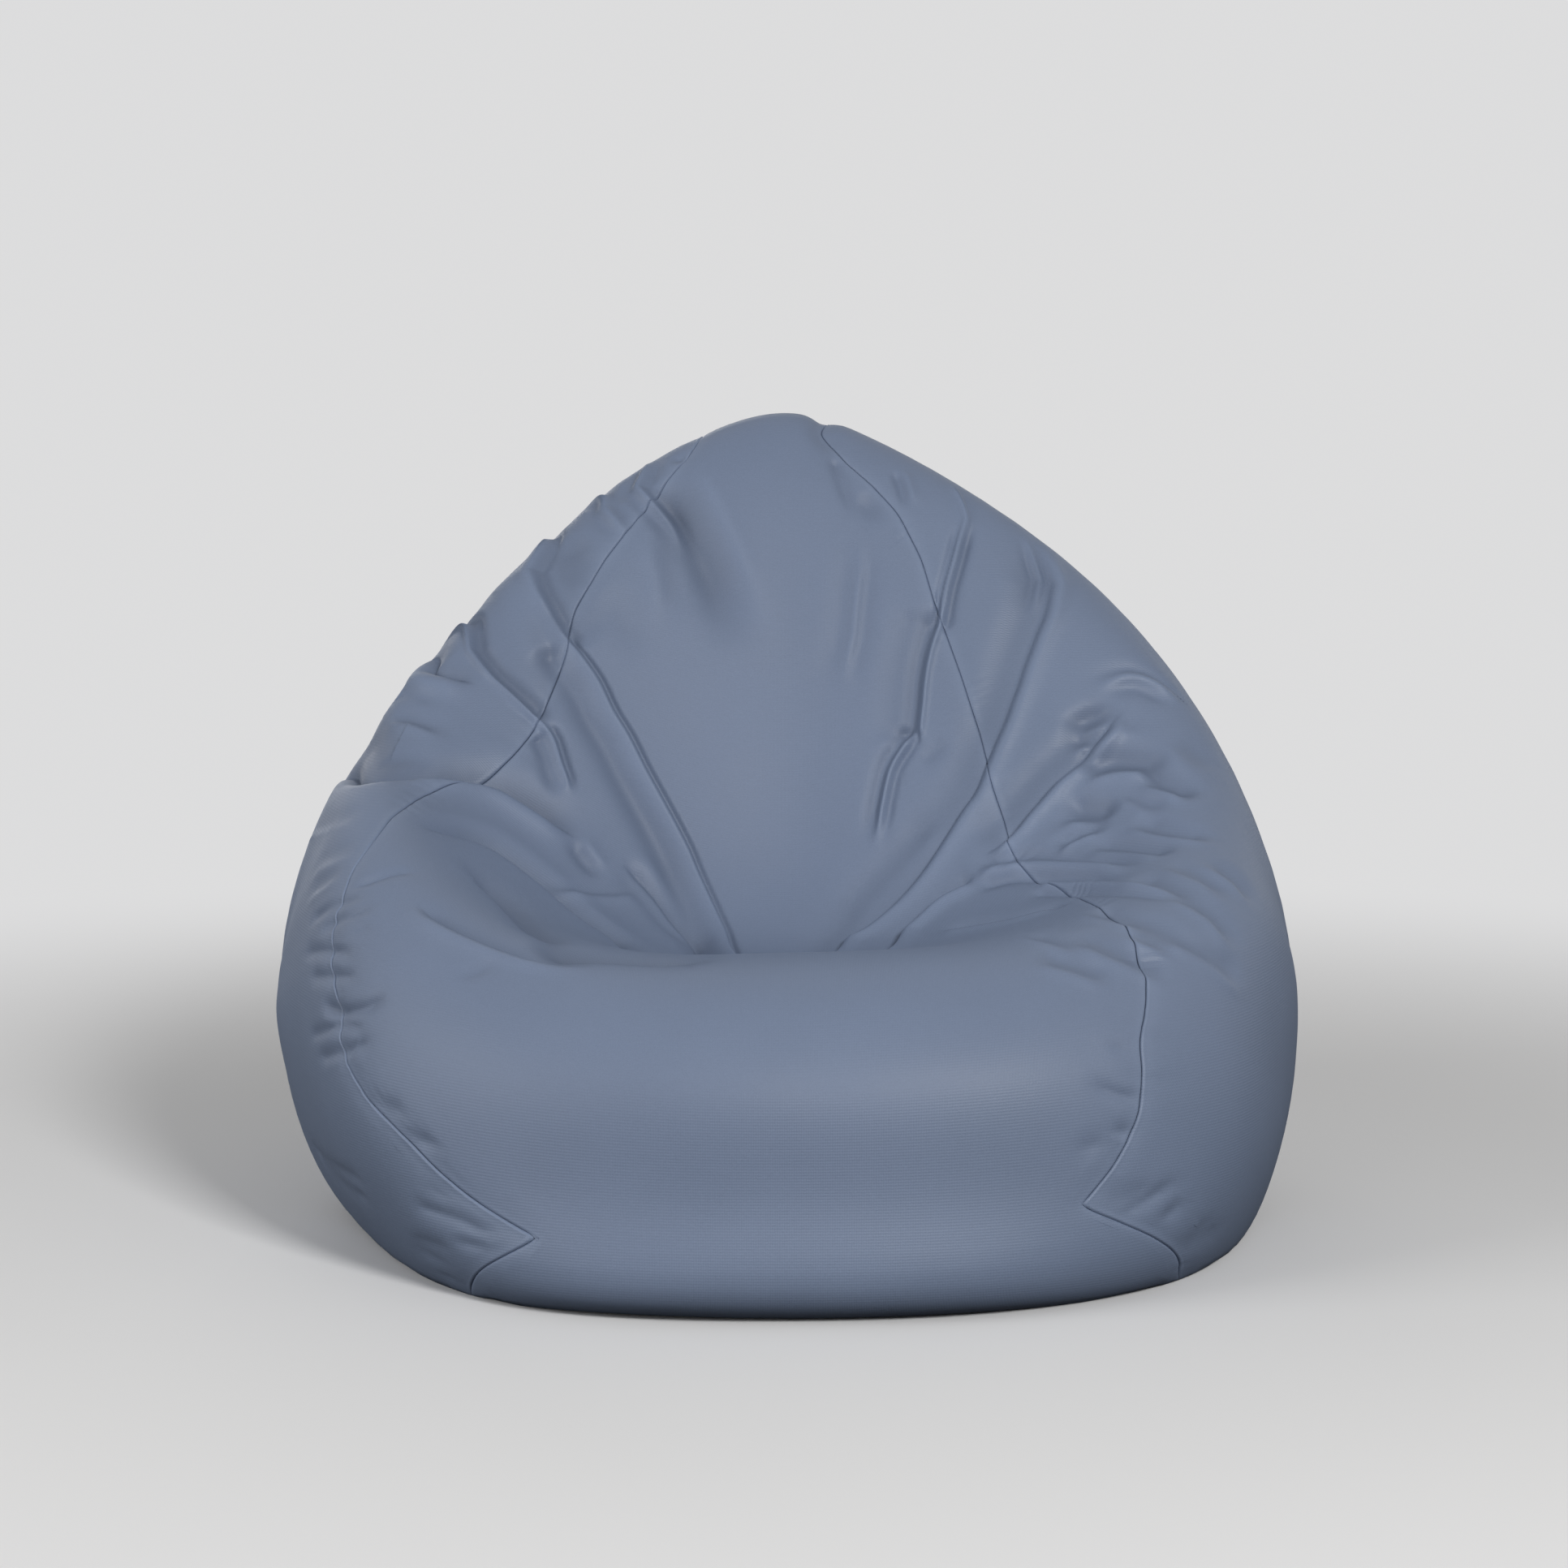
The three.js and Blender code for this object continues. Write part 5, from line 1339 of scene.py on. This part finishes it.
def arched(length, low, high, width, thickness, steps=24, around=10):
    """The slider's bridge: a flattened bar carried along an arch over the plate, its height the sine of the
    way to a low power. Returns points and faces."""
    share = np.linspace(0, 1, steps + 1)[:, None]
    turn = np.linspace(0, 2 * math.pi, around, endpoint=False)[None]
    lift = np.sin(share * math.pi) ** 0.35
    slope = np.gradient(lift[:, 0] * (high - low), share[:, 0] * length)[:, None]
    lean = np.arctan(np.clip(slope, -8, 8))
    x = (share - 0.5) * length - thickness * np.cos(turn) * np.sin(lean)
    y = low + (high - low) * lift + thickness * np.cos(turn) * np.cos(lean)
    z = width * np.sin(turn) + 0 * share
    number = np.arange((steps + 1) * around).reshape(steps + 1, around)
    return np.stack([x, y, z], -1).reshape(-1, 3), round_faces(number, turned=True)


# The slider's front plate, back plate and post, each by its middle and its half sizes along the coils, outwards
# and upwards, and then its bridge
slider = merged("zipper_slider_cast", [
    cushioned((0, 2.3 * MM, 0), (6 * MM, 0.9 * MM, 5.5 * MM), 0.45, (40, 14), nosed),
    cushioned((0, -3.9 * MM, 0), (5 * MM, 0.6 * MM, 4 * MM), 0.45, (32, 10)),
    cushioned((0, -0.75 * MM, 0), (1.5 * MM, 3 * MM, 0.38 * MM), 0.4, (16, 8)),
    arched(7 * MM, 3.1 * MM, 5.85 * MM, 0.6 * MM, 0.5 * MM),
], SLIDER_ANGLE)
slider.data.materials.append(plated_metal)
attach(slider, "slider")
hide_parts("zipper_slider")

PULL_MIDDLE, PULL_HALF_THICKNESS = 4.2 * MM, 0.6 * MM
PULL_WINDOW = (2.5 * MM, 1.5 * MM)
PULL_NEAR, PULL_FAR, PULL_HALF_WIDTH = 3.7 * MM, 26.3 * MM, 3.75 * MM
WINDOW_MIDDLE = 3.1 * MM


def ringed(around=72, across=8):
    """The pull: round its window, at each angle, a section goes out along the top from the window's edge to
    the pull's own edge and back along the underside. Both edges are the curve on which the powers of the two
    shares of the way to its sides add up to one, and the faces swell a little at the rim."""
    turn = np.linspace(0, 2 * math.pi, around, endpoint=False)[:, None]
    cosine, sine = np.cos(turn), np.sin(turn)

    def reach(front, behind, wide, power):
        ahead = np.where(cosine > 0, front, behind)
        return (np.abs(cosine / ahead) ** power + np.abs(sine / wide) ** power) ** (-1 / power)
    inner = reach(PULL_WINDOW[0], PULL_WINDOW[0], PULL_WINDOW[1], 5)
    outer = reach(PULL_FAR, PULL_NEAR, PULL_HALF_WIDTH, 7)
    share = np.concatenate([np.linspace(0, 1, across), np.linspace(1, 0, across)])[None]
    side = np.concatenate([np.ones(across), -np.ones(across)])[None]
    distance = inner + (outer - inner) * share
    thick = PULL_HALF_THICKNESS * (0.55 + 0.45 * smooth_step(np.minimum(share, 1 - share) * 14)) * side
    points = np.stack([WINDOW_MIDDLE + distance * cosine, PULL_MIDDLE + thick + 0 * cosine, distance * sine], -1)
    number = np.arange(around * 2 * across).reshape(around, 2 * across)
    beyond = np.roll(number, -1, 1)
    faces = np.stack([number, beyond, np.roll(beyond, -1, 0), np.roll(number, -1, 0)], -1).reshape(-1, 4)
    return points.reshape(-1, 3), faces


pull = merged("zipper_pull_tab", [ringed()], SLIDER_ANGLE)
pull.data.materials.append(plated_metal)
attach(pull, "pull")
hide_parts("zipper_pull")

# Stitching: one row of thread through each rear panel and the tape behind it, along the zipper. Each stitch is
# a short plump piece of thread that lies on the cloth and dips at both ends into its holes.
STITCH_PITCH, STITCH_LENGTH, STITCH_RADIUS = 3.2 * MM, 2.5 * MM, 0.28 * MM
STITCH_FROM_LINE, STITCH_PROUD = 7 * MM, 0.1 * MM
STITCH_COLOUR = (0.13, 0.16, 0.235)
thread = cloth("sewing_thread", STITCH_COLOUR, roughness=0.6, rib_pitch=0.0006, rib_height=0.0001, sheen=0.1)
stitch_points, stitch_faces = cushioned((0, 0, 0), (STITCH_LENGTH / 2, STITCH_RADIUS, STITCH_RADIUS), 0.9, (6, 4))
stitch_along, stitch_out, stitch_up = stitch_points.T
stitch_angles = np.arange(-ZIP_END_ANGLE, ZIP_END_ANGLE, STITCH_PITCH / ZIP_RADIUS)[:, None]
stitch_rows = np.arange(len(stitch_angles))[:, None, None] * len(stitch_points)
for side, name in ((1, "stitching_upper"), (-1, "stitching_lower")):
    points = round_zip(stitch_angles + stitch_along / ZIP_RADIUS, stitch_out + STITCH_PROUD,
                       side * STITCH_FROM_LINE + stitch_up)
    faces = without_repeats((stitch_faces + stitch_rows).reshape(-1, 4))
    stitching = plain_mesh(name, points.reshape(-1, 3), faces)
    stitching.data.materials.append(thread)
    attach(stitching, "bag")

# Inner liner: a loose bag of thin white cloth inside the cover, which holds the beads. It follows the cover's
# larger folds a few millimetres inside it, and has its filling slit behind the zipper, under a sewn strip.
LINER_ROWS, LINER_COLUMNS, LINER_SKIP = 800, 280, 4
LINER_THICKNESS = 0.6 * MM
LINER_DEPTH, LINER_DEPTH_AT_FLOOR, LINER_DEPTH_AT_ZIP = 4 * MM, 1.6 * MM, 6.7 * MM
LINER_ZIP_HEIGHT, LINER_ZIP_HEIGHT_FADE = 0.022, 0.008
LINER_ZIP_WIDTH, LINER_ZIP_WIDTH_FADE = 0.29, 0.02
LINER_SLIT, SLIT_SHORTER = 2 * MM, 4 * MM
LINER_REACHES, LINER_ROUNDS = (3, 1), 2


def lowest_near(values, reach):
    """The least value within a reach of each place, along rows that close on themselves and then across."""
    ring = np.min([np.roll(values, k, 0) for k in range(-reach, reach + 1)], axis=0)
    wide = np.pad(ring, ((0, 0), (reach, reach)), mode="edge")
    return np.min([wide[:, k:k + values.shape[1]] for k in range(2 * reach + 1)], axis=0)


inner_row, inner_column = np.meshgrid(
    np.linspace(ZIP_ROW, ZIP_ROW + NET_ROWS, LINER_ROWS, endpoint=False),
    np.linspace(0, NET_COLUMNS, LINER_COLUMNS + 1), indexing="ij")
inner_form = form(inner_row, inner_column)
inner_lift = relief(inner_form, grooved=False)
for reach in LINER_REACHES:
    inner_lift = lowest_near(inner_lift, reach)
for _ in range(LINER_ROUNDS):
    inner_lift = (np.roll(inner_lift, 1, 0) + inner_lift + np.roll(inner_lift, -1, 0)) / 3
inner_row, inner_column, inner_form, inner_lift = [
    grid[::LINER_SKIP, ::LINER_SKIP] for grid in (inner_row, inner_column, inner_form, inner_lift)]
inner_out = outward(inner_row, inner_column)
near_zip = smooth_step((LINER_ZIP_HEIGHT - np.abs(inner_form[..., 2] - ZIP_HEIGHT)) / LINER_ZIP_HEIGHT_FADE)
near_zip *= inner_form[..., 1] > 0
near_zip *= smooth_step((LINER_ZIP_WIDTH - np.abs(inner_form[..., 0])) / LINER_ZIP_WIDTH_FADE)
off_floor = smooth_step(inner_form[..., 2] / FLOOR_FADE)
liner_depth = LINER_DEPTH_AT_FLOOR + (LINER_DEPTH - LINER_DEPTH_AT_FLOOR) * off_floor
liner_depth += (LINER_DEPTH_AT_ZIP - LINER_DEPTH) * near_zip


def inner_skin(name, depth, thickness, slit):
    """A skin inside the cover at a depth under its folds, closed at the poles, and slit along the zipper by
    a second copy of the first row's places where the slit is wider than nothing. A face at a pole has three
    corners."""
    points = inner_form + inner_out * (inner_lift - depth)[..., None]
    rows, columns = points.shape[:2]
    i, j = np.meshgrid(np.arange(rows), np.arange(columns - 1), indexing="ij")
    number = np.arange(rows * columns).reshape(rows, columns)
    number[:, 0], number[:, -1] = 0, columns - 1
    last = number[0].copy()
    open_places = (np.abs(points[0, :, 0]) < ZIP_END_X - SLIT_SHORTER) & (slit > 0)
    last[open_places] = rows * columns + np.arange(open_places.sum())
    low, high = points[0, open_places].copy(), points[0, open_places].copy()
    low[:, 2] -= slit
    high[:, 2] += slit
    points[0, open_places] = low
    everything = np.concatenate([points.reshape(-1, 3), high])
    onward = np.concatenate([number[1:], last[None]])
    faces = np.stack([number[i, j], number[i, j + 1], onward[i, j + 1], onward[i, j]], axis=-1).reshape(-1, 4)
    faces[faces[:, 3] == faces[:, 0], 3] = -1
    faces[faces[:, 2] == faces[:, 1], 2] = -1
    used, inverse = np.unique(faces, return_inverse=True)
    numbers = inverse.reshape(faces.shape) - (used[0] == -1)
    return shell(name, numbers, everything[used[used >= 0]], thickness)


LINER_COLOUR = (0.78, 0.77, 0.73)
# Thin cloth: crumpled in small patches, with fine fibres
thin_cloth, add, place = begun("thin_liner_cloth")
creased = noise(add, place, 14, 5)
crumple = combined(add, "ADD", creased, noise(add, place, 1200, 2))
finished(add, {"Base Color": mixed(add, creased, tone(LINER_COLOUR, 0.92), tone(LINER_COLOUR, 1)),
               "Roughness": 0.82, "Normal": bumped(add, crumple, 0.4, 0.001), "Specular IOR Level": 0.3})
liner = inner_skin("inner_liner_cloth", liner_depth, LINER_THICKNESS, LINER_SLIT)
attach(liner, "bag")
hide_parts("inner_liner")
STRIP_FRONT, STRIP_THICKNESS, STRIP_HALF_WIDTH = 5.4 * MM, 0.8 * MM, 11 * MM
strip = carried("liner_closing_strip_sewn", rounded_section(
    -STRIP_FRONT - STRIP_THICKNESS, -STRIP_FRONT, -STRIP_HALF_WIDTH, STRIP_HALF_WIDTH))
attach(strip, "bag")
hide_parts("liner_closing_strip")
for piece in (liner, strip):
    piece.data.materials.append(thin_cloth)

# Beads: loose white foam beads that fill the liner, about 330 litres of them, as one solid. They take the
# form of the sitter, and fill the bag about two thirds tight.
BEADS_GAP = 0.4 * MM
beads = inner_skin("bead_fill_beads", liner_depth + LINER_THICKNESS + BEADS_GAP, 0, 0)
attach(beads, "bag")
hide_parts("bead_fill")

BEAD_COLOUR = (0.9, 0.9, 0.88)
# Foam: small balls, each raised at its middle, with painted shade greying it towards its edge, where the balls
# meet
foam, add, place = begun("foam_beads")
balls = add("ShaderNodeTexVoronoi", {"Vector": place, "Scale": 260}).outputs["Distance"]
finished(add, {"Base Color": mixed(add, balls, tone(BEAD_COLOUR, 1), tone(BEAD_COLOUR, 0.8)), "Roughness": 0.9,
               "Normal": bumped(add, balls, 0.8, 0.002, invert=True)})
beads.data.materials.append(foam)

# Floor: a plain pale one, which goes over into the pale backdrop a few metres round the chair. The light is
# soft studio light: the main lamp above and right of the camera, a weak wide one on the left, another low
# behind, and an even room round about.
FLOOR_SIZE = 30
FLOOR_COLOUR = (0.86, 0.855, 0.85)
FLOOR_BOUNCE = 0.08
BACKDROP_COLOUR = (0.72, 0.72, 0.725)
BACKDROP_NEAR, BACKDROP_FAR = 0.8, 2.6
floor_corners = [(x * FLOOR_SIZE, y * FLOOR_SIZE, 0) for x, y in ((-1, -1), (1, -1), (1, 1), (-1, 1))]
floor_mesh = bpy.data.meshes.new("studio_floor")
floor_mesh.from_pydata(floor_corners, [], [(0, 1, 2, 3)])
floor = bpy.data.objects.new("studio_floor", floor_mesh)
bpy.context.scene.collection.objects.link(floor)
floor_paint, add, place = begun("pale_floor")
distance = add("ShaderNodeVectorMath", {0: place}, operation="LENGTH").outputs["Value"]
fading = add("ShaderNodeMapRange", {"Value": distance, "From Min": BACKDROP_NEAR, "From Max": BACKDROP_FAR},
             interpolation_type="SMOOTHSTEP").outputs["Result"]
in_camera = add("ShaderNodeLightPath").outputs["Is Camera Ray"]
painted = add("ShaderNodeBsdfPrincipled", {
    "Base Color": mixed(add, in_camera, (*[FLOOR_BOUNCE] * 3, 1), tone(FLOOR_COLOUR, 1)), "Roughness": 0.85,
    "Specular IOR Level": 0.2})
pale = add("ShaderNodeEmission", {"Color": tone(BACKDROP_COLOUR, 1), "Strength": 1.0})
either = add("ShaderNodeMixShader", {0: combined(add, "MULTIPLY", fading, in_camera),
                                     1: painted.outputs["BSDF"], 2: pale.outputs["Emission"]})
add("ShaderNodeOutputMaterial", {"Surface": either.outputs["Shader"]})
floor_mesh.materials.append(floor_paint)


LAMP_TARGET = (0, 0, 0.4)


def lamp(name, place, size, watts):
    """A square white lamp of a size, turned from its place towards the chair."""
    light = bpy.data.lights.new(name, "AREA")
    light.shape = "SQUARE"
    light.size = size
    light.energy = watts
    holder = bpy.data.objects.new(name, light)
    holder.location = place
    holder.rotation_euler = (Vector(LAMP_TARGET) - Vector(place)).to_track_quat("-Z", "Y").to_euler()
    bpy.context.scene.collection.objects.link(holder)


lamp("front_lamp", (2.1, -4.4, 3.0), size=1.2, watts=194)
lamp("left_lamp", (-3.8, -2.0, 1.5), size=2.4, watts=76)
lamp("rear_lamp", (-1.2, 4.8, 1.0), size=3, watts=50)
ROOM_LIGHT = 0.2
world = bpy.data.worlds.new("studio_room")
bpy.context.scene.world = world
world.use_nodes = True
world.node_tree.nodes.clear()
add = node_maker(world)
rays = add("ShaderNodeLightPath").outputs
seen = combined(add, "MAXIMUM", rays["Is Camera Ray"], rays["Is Glossy Ray"])
seen = combined(add, "MAXIMUM", seen, rays["Is Transmission Ray"])
room = add("ShaderNodeBackground", {"Color": (1, 1, 1, 1), "Strength": ROOM_LIGHT})
backdrop = add("ShaderNodeBackground", {"Color": tone(BACKDROP_COLOUR, 1), "Strength": 1.0})
either = add("ShaderNodeMixShader", {0: seen, 1: room.outputs["Background"], 2: backdrop.outputs["Background"]})
add("ShaderNodeOutputWorld", {"Surface": either.outputs["Shader"]})
bpy.context.scene.view_settings.view_transform = "Standard"
